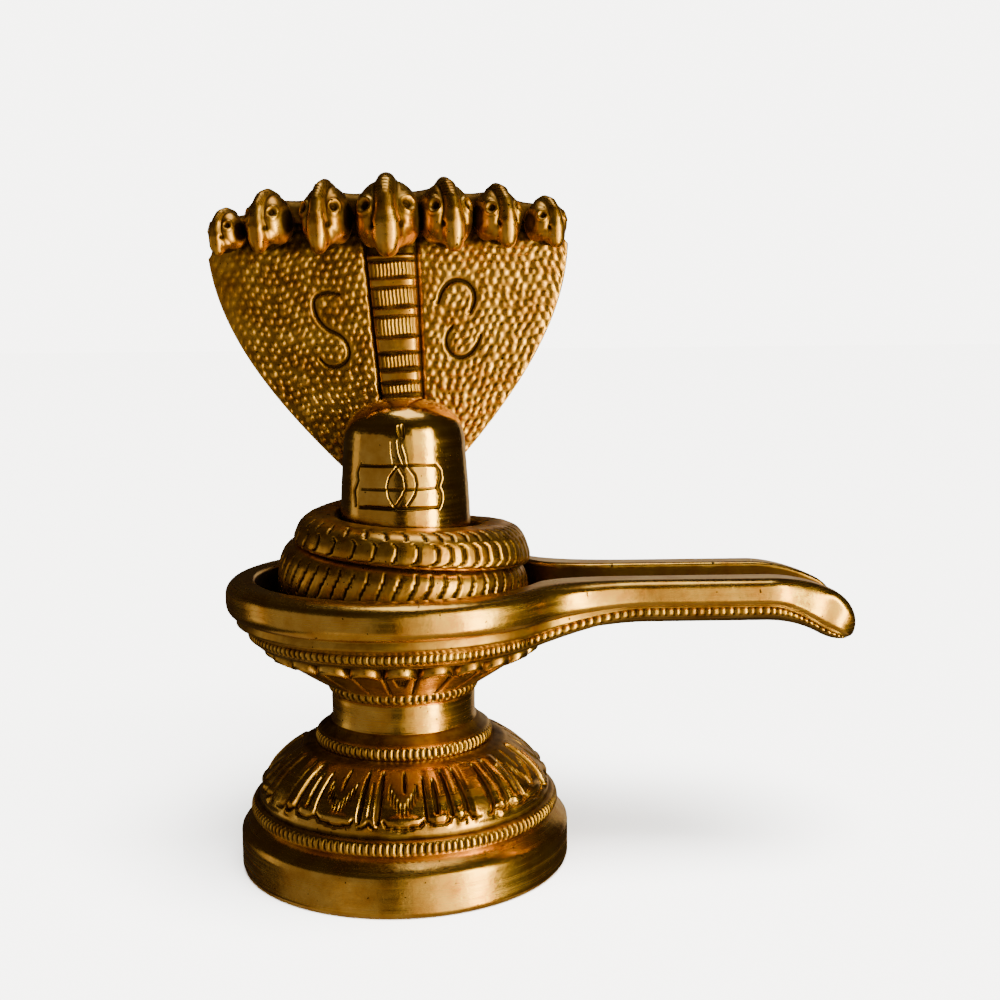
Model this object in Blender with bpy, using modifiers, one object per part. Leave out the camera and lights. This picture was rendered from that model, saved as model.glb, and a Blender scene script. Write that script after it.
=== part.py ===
"""Shiva lingam in cast brass: a pedestal with its yoni basin and spout, the domed
pillar that stands in the basin, and the coiled cobra whose seven-headed hood rises
behind the pillar. Lengths are in millimetres and are turned to metres by MM."""

import bmesh
import bpy
import math
import numpy as np
from mathutils import Matrix, Vector

MM = 0.001
FIT_GAP = 0.35
BAND_STEP = 0.5

# Pedestal foot, from the underside up
FOOT_RADIUS = 28.0
FOOT_EDGE = 0.6
DRUM_HEIGHT = 7.2
SHOULDER_RADIUS = 26.2
SHOULDER_RISE = 1.0
LOW_BEAD_RADIUS = 26.3
LOW_BEAD_RISE = 1.4
LOW_BEAD_HEIGHT = 1.5
LOTUS_FOOT_RADIUS = 24.6
LOTUS_RISE = 1.5
LOTUS_HEIGHT = 7.4
LOTUS_TOP_RADIUS = 15.8
LOTUS_BULGE = 1.9
UPPER_BEAD_RADIUS = 15.1
UPPER_BEAD_RISE = 1.1
UPPER_BEAD_HEIGHT = 1.4
UPPER_BEAD_SEAT = 1.2
NECK_RADIUS = 12.2
NECK_RISE = 2.2
NECK_HEIGHT = 3.9
GROOVE_DEPTH = 0.8

# Bowl under and around the basin
BOWL_BEAD_RADIUS = 12.9
BOWL_BEAD_RISE = 1.3
BOWL_BEAD_HEIGHT = 1.0
BOWL_FLARE_RADIUS = 24.8
BOWL_FLARE_HEIGHT = 9.1
BOWL_BULGE = 1.1
BOWL_RING_RADIUS = 25.4
BOWL_RING_HEIGHT = 1.1
RIM_RADIUS = 29.4
RIM_RISE = 10.2
RIM_BAND = 5.8
RIM_ROUND = 1.6
BASIN_RADIUS = 24.5
BASIN_DEPTH = 6.2
BASIN_DRAFT = 0.4
BASIN_FLOOR_ROUND = 1.8

# Spout of the basin
SPOUT_HALF = 11.8
SPOUT_DROP = 0.1
SPOUT_BAND = 4.0
SPOUT_DEPTH = 7.7
SPOUT_EDGE = 0.8
SPOUT_COVE = 1.4
SPOUT_BELLY = 3.6
SPOUT_FLARE_START = 14.0
SPOUT_FLARE_END = 38.0
SPOUT_FLARE_HALF = 22.5
SPOUT_FLARE_POWER = 2.4
SPOUT_FLARE_DEPTH = 13.2
SPOUT_BEND_START = 60.0
SPOUT_BEND_RADIUS = 20.5
SPOUT_BEND_DEG = 52.0
SPOUT_LIP_HALF = 7.6
SPOUT_LIP_DEPTH = 6.1
CHANNEL_HALF = 5.7
CHANNEL_MOUTH_HALF = 8.2
CHANNEL_LIP_HALF = 4.9
CHANNEL_DEPTH = 4.4
CHANNEL_LIP_DEPTH = 3.8
CHANNEL_SLOPE = 2.1
CUT_CLEAR = 3.0

# Carving on the pedestal
TURN_STEPS = 48
LOTUS_COUNT = 8
LOTUS_RELIEF = 0.55
LOTUS_PETAL_SHARE = 0.85
BOWL_PETAL_COUNT = 12
BOWL_PETAL_RELIEF = 0.5
PETAL_BAR_SHARE = 0.1
PETAL_GROOVE_SHARE = 0.26
BEAD_NOTCH = 0.3

# Pillar
PILLAR_OFFSET = 0.9
PILLAR_RADIUS = 11.3
PILLAR_TAPER = 1.1
PILLAR_HEIGHT = 35.35
PILLAR_DOME = 8.0
PILLAR_DOME_POWER = 2.5
PILLAR_EDGE = 0.4
PILLAR_STEPS = 24
MARK_WIDTH = 0.8
MARK_HALF_ANGLE = 37.0
MARK_HEIGHTS = (18.2, 21.0, 25.0)
MARK_EYE_HALF = 2.9

# Coil of the cobra
COIL_OFFSET = (0.4, 0.5)
COIL_CLEAR = 1.45
COIL_NECK_CLEAR = -0.35
BODY_RADIUS = 4.15
BODY_NECK_RADIUS = 3.25
TAIL_RADIUS = 1.1
COIL_HEIGHT = 14.5
COIL_PITCH = 7.7
COIL_START_DEG = 80.0
COIL_END_DEG = 860.0
COIL_TAIL_DEG = 720.0
COIL_STEP_DEG = 16.0

# Hood of the cobra: heights are from its base
HOOD_RISE = 2.5
HOOD_HEIGHT = 51.5
HOOD_WIDEST = 46.0
HOOD_HALF = 31.6
HOOD_NECK_SHARE = 0.09
HOOD_TOP_ROUND = 0.035
HOOD_CREST_DROP = 4.6
HOOD_BEHIND = 6.3
HOOD_THICKNESS = 3.0
HOOD_FORWARD = 2.6
HOOD_DISH = 1.3
HOOD_LEAN_DEG = 2.0
HOOD_SHIFT = -1.4
HOOD_COLUMNS = 8
HOOD_ROWS = 9
BELLY_TOP_HALF = 4.1
BELLY_FOOT_HALF = 3.0
BELLY_BASE = 6.0
BELLY_TOP = 44.5
BELLY_RAISE = 1.5
BELLY_ROOT = 1.2
BELLY_BARS = 8
BELLY_BAR_RAISE = 0.5
BELLY_BAR_ROWS = 3
SPINE_RADIUS = 3.6
SPINE_THIN = 0.4
SPINE_ROOT = 2.0
SPINE_PROUD = 0.3

# Heads: place across the hood, turn outward, height of the crown above the hood's
# base and size, as a share of the middle head
HEAD_PLACES = (-27.2, -19.3, -10.2, 0.0, 10.0, 18.7, 27.0)
HEAD_TURNS = (-40.0, -30.0, -22.0, 0.0, 22.0, 30.0, 40.0)
HEAD_CROWNS = (51.2, 54.0, 55.6, 57.0, 55.4, 53.7, 50.9)
HEAD_SIZES = (0.64, 0.78, 0.89, 1.0, 0.89, 0.79, 0.68)
HEAD_WIDTH = 11.6
HEAD_HEIGHT = 11.6
HEAD_LENGTH = 12.6
HEAD_PITCH_DEG = 38.0
HEAD_SEAT_SHARE = 0.45
HEAD_STEPS = (10, 7)
SNOUT_NARROW = 0.4
SNOUT_FLATTEN = 0.25
CREST_WIDTH = 3.8
CREST_LENGTH_SHARE = 0.54
CREST_HEIGHT_SHARE = 0.62
CREST_STEPS = (6, 8)
EYE_RADIUS = 1.3
EYE_SPOT = (0.74, -0.54, 0.38)
EYE_PROUD_SHARE = 0.95
EYE_STEPS = (6, 4)

# Levels that follow from the sizes above
LOW_BEAD_BASE = DRUM_HEIGHT + SHOULDER_RISE + LOW_BEAD_RISE
LOTUS_BASE = LOW_BEAD_BASE + LOW_BEAD_HEIGHT + LOTUS_RISE
UPPER_BEAD_BASE = LOTUS_BASE + LOTUS_HEIGHT + UPPER_BEAD_RISE
NECK_BASE = UPPER_BEAD_BASE + UPPER_BEAD_HEIGHT + NECK_RISE
BOWL_BASE = NECK_BASE + NECK_HEIGHT + BOWL_BEAD_RISE
BOWL_FLARE_TOP = BOWL_BASE + BOWL_FLARE_HEIGHT
RIM_TOP = BOWL_FLARE_TOP + RIM_RISE
BASIN_FLOOR = RIM_TOP - BASIN_DEPTH
PILLAR_BASE = BASIN_FLOOR + FIT_GAP
PILLAR_SHOULDER = PILLAR_BASE + PILLAR_HEIGHT - PILLAR_DOME
COIL_RADIUS = PILLAR_RADIUS + BODY_RADIUS + COIL_CLEAR
COIL_TOP_RADIUS = PILLAR_RADIUS + BODY_NECK_RADIUS + COIL_NECK_CLEAR
COIL_TOP = BASIN_FLOOR + COIL_HEIGHT
HOOD_BASE = COIL_TOP + HOOD_RISE
HOOD_BACK = PILLAR_RADIUS + HOOD_BEHIND

SHARP_DEG = 32.0
BRASS_FOOT = (0.62, 0.40, 0.10, 1.0)
BRASS_PILLAR = (0.66, 0.44, 0.13, 1.0)
BRASS_COBRA = (0.55, 0.34, 0.08, 1.0)


def clear_scene():
    for item in list(bpy.data.objects):
        bpy.data.objects.remove(item, do_unlink=True)


def add_collection(name):
    collection = bpy.data.collections.new(name)
    bpy.context.scene.collection.children.link(collection)
    return collection


def add_object(name, mesh, collection):
    item = bpy.data.objects.new(name, mesh)
    collection.objects.link(item)
    return item


def evaluated_mesh(item):
    depsgraph = bpy.context.evaluated_depsgraph_get()
    depsgraph.update()
    return bpy.data.meshes.new_from_object(item.evaluated_get(depsgraph))


def settle(item):
    """Make the modifiers of a shape part of its mesh."""
    mesh = evaluated_mesh(item)
    item.modifiers.clear()
    item.data = mesh


def combine(target, tool, operation, joins_itself=False):
    """Join a tool shape to the target, or cut it from it, and drop the tool."""
    modifier = target.modifiers.new(operation.title(), "BOOLEAN")
    modifier.operation = operation
    modifier.solver = "EXACT"
    modifier.object = tool
    modifier.use_self = joins_itself
    settle(target)
    bpy.data.objects.remove(tool, do_unlink=True)


def brass(name, colour, roughness):
    material = bpy.data.materials.new(name)
    material.use_nodes = True
    shader = material.node_tree.nodes["Principled BSDF"]
    shader.inputs["Base Color"].default_value = colour
    shader.inputs["Metallic"].default_value = 1.0
    shader.inputs["Roughness"].default_value = roughness
    return material


def finish(item, material, angle=math.radians(SHARP_DEG)):
    item.data.materials.clear()
    item.data.materials.append(material)
    item.data.shade_smooth()
    item.data.set_sharp_from_angle(angle=angle)


def turned(name, profile, steps, collection):
    """Turn a profile of (radius, height) points, given from the top down."""
    mesh = bpy.data.meshes.new(name)
    points = [(radius * MM, 0.0, height * MM) for radius, height in profile]
    edges = [(i, i + 1) for i in range(len(points) - 1)]
    mesh.from_pydata(points, edges, [])
    item = add_object(name, mesh, collection)
    screw = item.modifiers.new("Turn", "SCREW")
    screw.axis = "Z"
    screw.steps = steps
    screw.render_steps = steps
    screw.use_merge_vertices = True
    screw.merge_threshold = 0.00001
    settle(item)
    return item


def loft(name, sections, collection):
    """Skin a row of closed sections that have the same number of points."""
    work = bmesh.new()
    rings = [[work.verts.new(point * MM) for point in section] for section in sections]
    count = len(rings[0])
    for near, far in zip(rings, rings[1:]):
        for i in range(count):
            j = (i + 1) % count
            work.faces.new((near[i], near[j], far[j], far[i]))
    work.faces.new(list(reversed(rings[0])))
    work.faces.new(rings[-1])
    bmesh.ops.recalc_face_normals(work, faces=work.faces)
    mesh = bpy.data.meshes.new(name)
    work.to_mesh(mesh)
    work.free()
    return add_object(name, mesh, collection)


def wire(name, points, radii, sides_step, collection):
    """A closed round tube along the points, as a mesh."""
    curve = bpy.data.curves.new(name, "CURVE")
    curve.dimensions = "3D"
    curve.bevel_depth = MM
    curve.bevel_resolution = sides_step
    curve.use_fill_caps = True
    spline = curve.splines.new("POLY")
    spline.points.add(len(points) - 1)
    for target, point, radius in zip(spline.points, points, radii):
        target.co = (*(point * MM), 1.0)
        target.radius = radius
    guide = add_object(name + "_path", curve, collection)
    mesh = evaluated_mesh(guide)
    work = bmesh.new()
    work.from_mesh(mesh)
    bmesh.ops.remove_doubles(work, verts=work.verts, dist=0.000001)
    bmesh.ops.recalc_face_normals(work, faces=work.faces)
    work.to_mesh(mesh)
    work.free()
    item = add_object(name, mesh, collection)
    item.matrix_world = guide.matrix_world
    bpy.data.objects.remove(guide, do_unlink=True)
    return item


def ball(name, segments, rings, collection):
    """A unit ball with its poles along the height."""
    work = bmesh.new()
    bmesh.ops.create_uvsphere(work, u_segments=segments, v_segments=rings, radius=1.0)
    mesh = bpy.data.meshes.new(name)
    work.to_mesh(mesh)
    work.free()
    return add_object(name, mesh, collection)


def smooth_share(value):
    """Ease a share from 0 to 1."""
    share = min(max(value, 0.0), 1.0)
    return share * share * (3.0 - 2.0 * share)


# Pedestal and basin

def lotus_radius(share):
    """Radius of the lotus dome, from its foot (0) to its top (1)."""
    run = LOTUS_FOOT_RADIUS - LOTUS_TOP_RADIUS
    return LOTUS_FOOT_RADIUS - run * share ** LOTUS_BULGE


def rounded(radius, height, across, drop, turns):
    """Points of a rounded edge, from its flat (0 degrees) to its wall (90)."""
    rows = []
    for turn in turns:
        inward = across * (1.0 - math.sin(math.radians(turn)))
        down = drop * (1.0 - math.cos(math.radians(turn)))
        rows.append((radius - inward, height - down))
    return rows


def bead(radius, base, height):
    """A raised ring with a small step above and below it."""
    return [
        (radius - BAND_STEP, base + height + BAND_STEP),
        (radius, base + height),
        (radius, base),
        (radius - BAND_STEP, base - BAND_STEP),
    ]


def pedestal_profile():
    """The turned outline from the rim down to the underside."""
    band_foot = RIM_TOP - RIM_BAND
    rows = [(0.0, RIM_TOP)]
    rows += rounded(RIM_RADIUS, RIM_TOP, RIM_ROUND, RIM_ROUND, (0.0, 45.0, 90.0))
    rows += rounded(RIM_RADIUS, band_foot, RIM_ROUND, -RIM_ROUND, (90.0, 0.0))
    rows += bead(BOWL_RING_RADIUS, BOWL_FLARE_TOP, BOWL_RING_HEIGHT)
    bowl_foot = BOWL_BASE + BOWL_BEAD_HEIGHT
    for share in (0.7, 0.36):
        radius = BOWL_BEAD_RADIUS + share * (BOWL_FLARE_RADIUS - BOWL_BEAD_RADIUS)
        height = bowl_foot + share ** BOWL_BULGE * (BOWL_FLARE_TOP - bowl_foot)
        rows.append((radius, height))
    rows += bead(BOWL_BEAD_RADIUS, BOWL_BASE, BOWL_BEAD_HEIGHT)
    rows += [
        (NECK_RADIUS, NECK_BASE + NECK_HEIGHT),
        (NECK_RADIUS, NECK_BASE),
        (NECK_RADIUS + GROOVE_DEPTH, NECK_BASE - BAND_STEP),
    ]
    crown = bead(UPPER_BEAD_RADIUS, UPPER_BEAD_BASE, UPPER_BEAD_HEIGHT)
    rows.append((UPPER_BEAD_RADIUS - UPPER_BEAD_SEAT, crown[0][1]))
    rows += crown[1:]
    for share in (1.0, 0.8, 0.55, 0.25, 0.0):
        rows.append((lotus_radius(share), LOTUS_BASE + share * LOTUS_HEIGHT))
    rows += bead(LOW_BEAD_RADIUS, LOW_BEAD_BASE, LOW_BEAD_HEIGHT)
    rows += [
        (SHOULDER_RADIUS, DRUM_HEIGHT + SHOULDER_RISE),
        (FOOT_RADIUS - FOOT_EDGE, DRUM_HEIGHT),
        (FOOT_RADIUS, DRUM_HEIGHT - FOOT_EDGE),
        (FOOT_RADIUS, FOOT_EDGE),
        (FOOT_RADIUS - FOOT_EDGE, 0.0),
        (0.0, 0.0),
    ]
    return rows


def petal_height(angle, count):
    """Relief across one petal: a bar at its edge, a groove, then the raised leaf."""
    phase = (angle * count / math.tau) % 1.0
    offset = min(phase, 1.0 - phase)
    if offset < PETAL_BAR_SHARE:
        return 0.6
    if offset < PETAL_GROOVE_SHARE:
        return -0.9
    leaf = (offset - PETAL_GROOVE_SHARE) / (0.5 - PETAL_GROOVE_SHARE)
    return 0.3 + 0.9 * smooth_share(leaf)


def within(value, low, high):
    return low - 0.01 < value < high + 0.01


def carve_pedestal(item):
    """Push the turned rows out and in to leave beads and two bands of petals."""
    step = math.tau / TURN_STEPS
    beads = (
        (LOW_BEAD_BASE, LOW_BEAD_HEIGHT),
        (UPPER_BEAD_BASE, UPPER_BEAD_HEIGHT),
        (BOWL_BASE, BOWL_BEAD_HEIGHT),
        (BOWL_FLARE_TOP, BOWL_RING_HEIGHT),
    )
    lotus_top = LOTUS_BASE + LOTUS_PETAL_SHARE * LOTUS_HEIGHT
    bowl_low = BOWL_BASE + BOWL_BEAD_HEIGHT + 2.0 * BAND_STEP
    bowl_high = BOWL_FLARE_TOP - 2.0 * BAND_STEP
    for vertex in item.data.vertices:
        height = vertex.co.z / MM
        radius = math.hypot(vertex.co.x, vertex.co.y) / MM
        if radius < 0.5 * NECK_RADIUS:
            continue
        angle = math.atan2(vertex.co.y, vertex.co.x)
        odd = round(angle / step) % 2
        push = 0.0
        if any(within(height, base, base + tall) for base, tall in beads):
            push = -BEAD_NOTCH * odd
        elif within(height, LOTUS_BASE + 0.1, lotus_top):
            push = LOTUS_RELIEF * petal_height(angle, LOTUS_COUNT)
        elif within(height, bowl_low, bowl_high):
            push = BOWL_PETAL_RELIEF * petal_height(angle, BOWL_PETAL_COUNT)
        scale = 1.0 + push / radius
        vertex.co.x *= scale
        vertex.co.y *= scale


def spout_station(run):
    """Place, slope and sizes of the spout at a distance along its top."""
    bend = max(0.0, run - SPOUT_BEND_START) / SPOUT_BEND_RADIUS
    straight = min(run, SPOUT_BEND_START)
    place = Vector((
        straight + SPOUT_BEND_RADIUS * math.sin(bend),
        0.0,
        RIM_TOP - SPOUT_DROP - SPOUT_BEND_RADIUS * (1.0 - math.cos(bend)),
    ))
    down = Vector((-math.sin(bend), 0.0, -math.cos(bend)))
    full = math.radians(SPOUT_BEND_DEG)
    flare = max(0.0, (SPOUT_FLARE_END - run) / (SPOUT_FLARE_END - SPOUT_FLARE_START))
    return place, down, flare, (bend / full) ** 2


def across_section(place, down, outline):
    """A closed section from the outline of its right half."""
    side = Vector((0.0, 1.0, 0.0))
    right = [place + side * y + down * z for y, z in outline]
    left = [place - side * y + down * z for y, z in reversed(outline)]
    return right + left


def spout_section(run):
    """Outer section of the spout: rim band, cove under it and the belly."""
    place, down, flare, lip = spout_station(run)
    half = SPOUT_HALF + (SPOUT_FLARE_HALF - SPOUT_HALF) * flare ** SPOUT_FLARE_POWER
    half -= (SPOUT_HALF - SPOUT_LIP_HALF) * lip ** 1.5
    band = SPOUT_BAND + (RIM_BAND - SPOUT_BAND) * flare
    depth = SPOUT_DEPTH + (SPOUT_FLARE_DEPTH - SPOUT_DEPTH) * flare ** 0.8
    depth -= (SPOUT_DEPTH - SPOUT_LIP_DEPTH) * lip
    cove = depth - band
    waist = half - RIM_ROUND
    outline = [
        (waist, 0.0),
        (half - 0.5 * SPOUT_EDGE, 0.5 * SPOUT_EDGE),
        (half, 1.5 * SPOUT_EDGE),
        (half, band - SPOUT_EDGE),
        (waist, band),
        (waist - SPOUT_COVE, band + 0.45 * cove),
        (waist - 0.5 * (SPOUT_COVE + SPOUT_BELLY), band + 0.75 * cove),
        (waist - SPOUT_BELLY, depth),
    ]
    return across_section(place, down, outline)


def channel_section(run):
    """Section of the channel that is cut into the spout, open above."""
    place, down, flare, lip = spout_station(run)
    half = CHANNEL_HALF + (CHANNEL_MOUTH_HALF - CHANNEL_HALF) * flare ** 1.5
    half -= (CHANNEL_HALF - CHANNEL_LIP_HALF) * lip
    depth = CHANNEL_DEPTH - (CHANNEL_DEPTH - CHANNEL_LIP_DEPTH) * lip
    outline = [
        (half, -CUT_CLEAR),
        (half, 0.1 * depth),
        (half - 0.25 * CHANNEL_SLOPE, 0.8 * depth),
        (half - CHANNEL_SLOPE, depth),
    ]
    return across_section(place, down, outline)


def spout_runs(start, extra):
    """Distances along the spout: close where it flares and where it bends."""
    end = SPOUT_BEND_START + SPOUT_BEND_RADIUS * math.radians(SPOUT_BEND_DEG) + extra
    flare = list(np.linspace(start, SPOUT_FLARE_END, 6))
    bend = list(np.linspace(SPOUT_BEND_START, end, 6))
    return flare + bend


def make_pedestal(parts, cutters):
    item = turned("pedestal_and_yoni", pedestal_profile(), TURN_STEPS, parts)
    carve_pedestal(item)
    runs = spout_runs(SPOUT_FLARE_START, 0.0)
    spout = loft("spout", [spout_section(run) for run in runs], cutters)
    combine(item, spout, "UNION")
    wall = BASIN_RADIUS - BASIN_DRAFT
    basin = turned("basin", [
        (0.0, RIM_TOP + CUT_CLEAR),
        (BASIN_RADIUS + BASIN_DRAFT, RIM_TOP + CUT_CLEAR),
        (BASIN_RADIUS, RIM_TOP - BAND_STEP),
        (wall, BASIN_FLOOR + BASIN_FLOOR_ROUND),
        (wall - BASIN_FLOOR_ROUND, BASIN_FLOOR),
        (0.0, BASIN_FLOOR),
    ], TURN_STEPS, cutters)
    basin.data.transform(Matrix.Rotation(math.pi / TURN_STEPS, 4, "Z"))
    combine(item, basin, "DIFFERENCE")
    runs = spout_runs(SPOUT_FLARE_START + 2.0 * CUT_CLEAR, CUT_CLEAR)
    channel = loft("channel", [channel_section(run) for run in runs], cutters)
    combine(item, channel, "DIFFERENCE")
    finish(item, brass("polished_brass_pedestal", BRASS_FOOT, 0.28))


# Pillar

def pillar_radius(height):
    """Radius of the pillar side at a height, under its dome."""
    share = (height - PILLAR_BASE) / (PILLAR_SHOULDER - PILLAR_BASE)
    return PILLAR_RADIUS - PILLAR_TAPER * share ** 2


def pillar_profile():
    radius = pillar_radius(PILLAR_SHOULDER)
    rows = [(0.0, PILLAR_SHOULDER + PILLAR_DOME)]
    for share in (0.42, 0.68, 0.84, 0.95):
        rise = (1.0 - share ** PILLAR_DOME_POWER) ** (1.0 / PILLAR_DOME_POWER)
        rows.append((radius * share, PILLAR_SHOULDER + PILLAR_DOME * rise))
    for share in (1.0, 0.66, 0.33):
        height = PILLAR_BASE + share * (PILLAR_SHOULDER - PILLAR_BASE)
        rows.append((pillar_radius(height), height))
    rows += [
        (PILLAR_RADIUS, PILLAR_BASE + PILLAR_EDGE),
        (PILLAR_RADIUS - PILLAR_EDGE, PILLAR_BASE),
        (0.0, PILLAR_BASE),
    ]
    return rows


def on_pillar(across, height):
    """A point of the pillar's face, at a distance across from its middle line."""
    radius = pillar_radius(min(height, PILLAR_SHOULDER))
    angle = -math.pi / 2 + across / radius
    return Vector((radius * math.cos(angle), radius * math.sin(angle), height))


def mark_groove(name, points, collection):
    radii = [0.5 * MARK_WIDTH] * len(points)
    return wire(name, points, radii, 0, collection)


def make_pillar(parts, cutters):
    item = turned("lingam", pillar_profile(), PILLAR_STEPS, parts)
    reach = math.radians(MARK_HALF_ANGLE) * PILLAR_RADIUS
    for rise in MARK_HEIGHTS:
        level = PILLAR_BASE + rise
        points = [on_pillar(x, level) for x in np.linspace(-reach, reach, 7)]
        combine(item, mark_groove("mark", points, cutters), "DIFFERENCE")
    low = PILLAR_BASE + MARK_HEIGHTS[0]
    high = PILLAR_BASE + MARK_HEIGHTS[-1]
    for turn in (-1.0, 1.0):
        points = []
        for share in np.linspace(0.02, 0.98, 7):
            across = turn * (MARK_EYE_HALF * math.sin(math.pi * share) - MARK_WIDTH)
            points.append(on_pillar(across, low + share * (high - low)))
        combine(item, mark_groove("eye", points, cutters), "DIFFERENCE")
    item.location.x = PILLAR_OFFSET * MM
    finish(item, brass("polished_brass_lingam", BRASS_PILLAR, 0.22))


# Cobra

def coil_point(degrees):
    """Middle of the cobra's body at an angle round the pillar."""
    turn = math.radians(degrees)
    share = smooth_share((degrees - 150.0) / 180.0)
    radius = COIL_TOP_RADIUS + (COIL_RADIUS - COIL_TOP_RADIUS) * share
    height = COIL_TOP - COIL_PITCH * (degrees - 180.0) / 360.0
    lowest = PILLAR_BASE + coil_thickness(degrees)
    return Vector((
        COIL_OFFSET[0] + radius * math.cos(turn),
        COIL_OFFSET[1] + radius * math.sin(turn),
        max(height, lowest),
    ))


def coil_thickness(degrees):
    """Radius of the cobra's body: slimmer at the neck, thin at the tail."""
    neck = smooth_share((degrees - 120.0) / 240.0)
    tail = smooth_share((degrees - COIL_TAIL_DEG) / (COIL_END_DEG - COIL_TAIL_DEG))
    full = BODY_NECK_RADIUS + (BODY_RADIUS - BODY_NECK_RADIUS) * neck
    return full + (TAIL_RADIUS - full) * tail


def make_coil(name, collection):
    """The body as one tube, whose turns press into each other."""
    steps = math.ceil((COIL_END_DEG - COIL_START_DEG) / COIL_STEP_DEG)
    angles = np.linspace(COIL_START_DEG, COIL_END_DEG, steps + 1)
    points = [coil_point(angle) for angle in angles]
    radii = [coil_thickness(angle) for angle in angles]
    return wire(name, points, radii, 2, collection)


def hood_half(height):
    """Half width of the hood at a height above its base."""
    share = height / HOOD_WIDEST
    if share > 1.0:
        return HOOD_HALF - HOOD_TOP_ROUND * (height - HOOD_WIDEST) ** 2
    full = HOOD_NECK_SHARE + (1.0 - HOOD_NECK_SHARE) * share
    return HOOD_HALF * math.sin(0.5 * math.pi * full)


def hood_lean():
    """Set the hood, made from its base up, on the coil behind the pillar."""
    foot = Vector((PILLAR_OFFSET + HOOD_SHIFT, 0.0, HOOD_BASE)) * MM
    lean = Matrix.Rotation(math.radians(-HOOD_LEAN_DEG), 4, "Y")
    return Matrix.Translation(foot) @ lean


def hood_depth(across, height):
    """Depth of the hood's front face, which curls forward to the crest."""
    rise = height / HOOD_HEIGHT
    edge = across / HOOD_HALF
    return HOOD_BACK - HOOD_THICKNESS - HOOD_FORWARD * rise ** 2 - HOOD_DISH * edge ** 2


def grid_sheet(name, columns, rows, place, collection):
    """A sheet over shares across (-1 to 1) and up (0 to 1), put in place."""
    work = bmesh.new()
    bmesh.ops.create_grid(work, x_segments=columns, y_segments=rows, size=1.0)
    for vertex in work.verts:
        vertex.co = place(vertex.co.x, 0.5 * (vertex.co.y + 1.0)) * MM
    mesh = bpy.data.meshes.new(name)
    work.to_mesh(mesh)
    work.free()
    return add_object(name, mesh, collection)


def thicken(item, depth):
    """Give a sheet its thickness, away from the hood's front."""
    shell = item.modifiers.new("Wall", "SOLIDIFY")
    shell.thickness = depth * MM
    shell.offset = -1.0
    shell.use_even_offset = False
    settle(item)
    work = bmesh.new()
    work.from_mesh(item.data)
    bmesh.ops.recalc_face_normals(work, faces=work.faces)
    work.to_mesh(item.data)
    work.free()


def hood_place(across, up):
    height = up * (HOOD_HEIGHT - HOOD_CREST_DROP * across ** 2)
    width = across * hood_half(height)
    return Vector((width, hood_depth(width, height), height))


def belly_place(across, up):
    """The scuted strip down the middle: bars stand proud between flat bands."""
    height = BELLY_BASE + up * (BELLY_TOP - BELLY_BASE)
    half = BELLY_FOOT_HALF + (BELLY_TOP_HALF - BELLY_FOOT_HALF) * up
    width = across * half
    bar = 0.5 + 0.5 * math.cos(math.tau * BELLY_BARS * up)
    round_off = 0.5 * across ** 2
    proud = BELLY_RAISE + BELLY_BAR_RAISE * bar - round_off
    return Vector((width, hood_depth(width, height) - proud, height))


def make_spine(collection):
    """The cobra's neck, a ridge up the back of the hood that thins upward."""
    heights = np.linspace(-SPINE_ROOT, HOOD_WIDEST, 5)
    points = []
    radii = []
    for height in heights:
        share = (height - heights[0]) / (heights[-1] - heights[0])
        depth = hood_depth(0.0, height) + 0.5 * HOOD_THICKNESS + SPINE_PROUD
        points.append(Vector((0.0, depth, height)))
        radii.append(SPINE_RADIUS * (1.0 - SPINE_THIN * share))
    return wire("spine", points, radii, 2, collection)


def shaped_ball(name, steps, shape, collection):
    item = ball(name, steps[0], steps[1], collection)
    for vertex in item.data.vertices:
        vertex.co = shape(vertex.co) * MM
    return item


def head_shape(point):
    """Skull of one head: square and deep at the eyes, drawn in to the snout."""
    front = max(0.0, -point.y)
    narrow = 1.0 - SNOUT_NARROW * front ** 2
    square = math.copysign(abs(point.x) ** 0.8, point.x)
    return Vector((
        0.5 * HEAD_WIDTH * square * narrow,
        0.5 * HEAD_LENGTH * point.y,
        0.5 * HEAD_HEIGHT * point.z * (1.0 - SNOUT_FLATTEN * front),
    ))


def crest_shape(point):
    """The smooth band that stands proud from the crown down to the nose."""
    front = max(0.0, -point.y)
    return Vector((
        0.5 * CREST_WIDTH * point.x,
        CREST_LENGTH_SHARE * HEAD_LENGTH * point.y,
        CREST_HEIGHT_SHARE * HEAD_HEIGHT * point.z * (1.0 - SNOUT_FLATTEN * front),
    ))


def eye_shape(point):
    return point * EYE_RADIUS


def make_head(number, collection):
    """One head, set by the top of its crown and by its back on the hood."""
    size = HEAD_SIZES[number]
    name = "head_%d" % (number + 1)
    skull = shaped_ball(name, HEAD_STEPS, head_shape, collection)
    crest = shaped_ball(name + "_crest", CREST_STEPS, crest_shape, collection)
    combine(skull, crest, "UNION")
    for side in (-1.0, 1.0):
        eye = shaped_ball(name + "_eye", EYE_STEPS, eye_shape, collection)
        toward = Vector((side * EYE_SPOT[0], EYE_SPOT[1], EYE_SPOT[2]))
        spot = EYE_PROUD_SHARE * head_shape(toward.normalized())
        eye.data.transform(Matrix.Translation(spot * MM))
        combine(skull, eye, "UNION")
    turn = Matrix.Rotation(math.radians(HEAD_TURNS[number]), 4, "Z")
    pitch = Matrix.Rotation(math.radians(HEAD_PITCH_DEG), 4, "X")
    skull.data.transform(turn @ pitch @ Matrix.Scale(size, 4))
    crown = max(vertex.co.z for vertex in skull.data.vertices) / MM
    across = HEAD_PLACES[number]
    back = hood_depth(across, HOOD_HEIGHT) + HOOD_THICKNESS
    depth = back - HEAD_SEAT_SHARE * HEAD_LENGTH * size
    place = Vector((across, depth, HEAD_CROWNS[number] - crown))
    skull.data.transform(Matrix.Translation(place * MM))
    return skull


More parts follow.
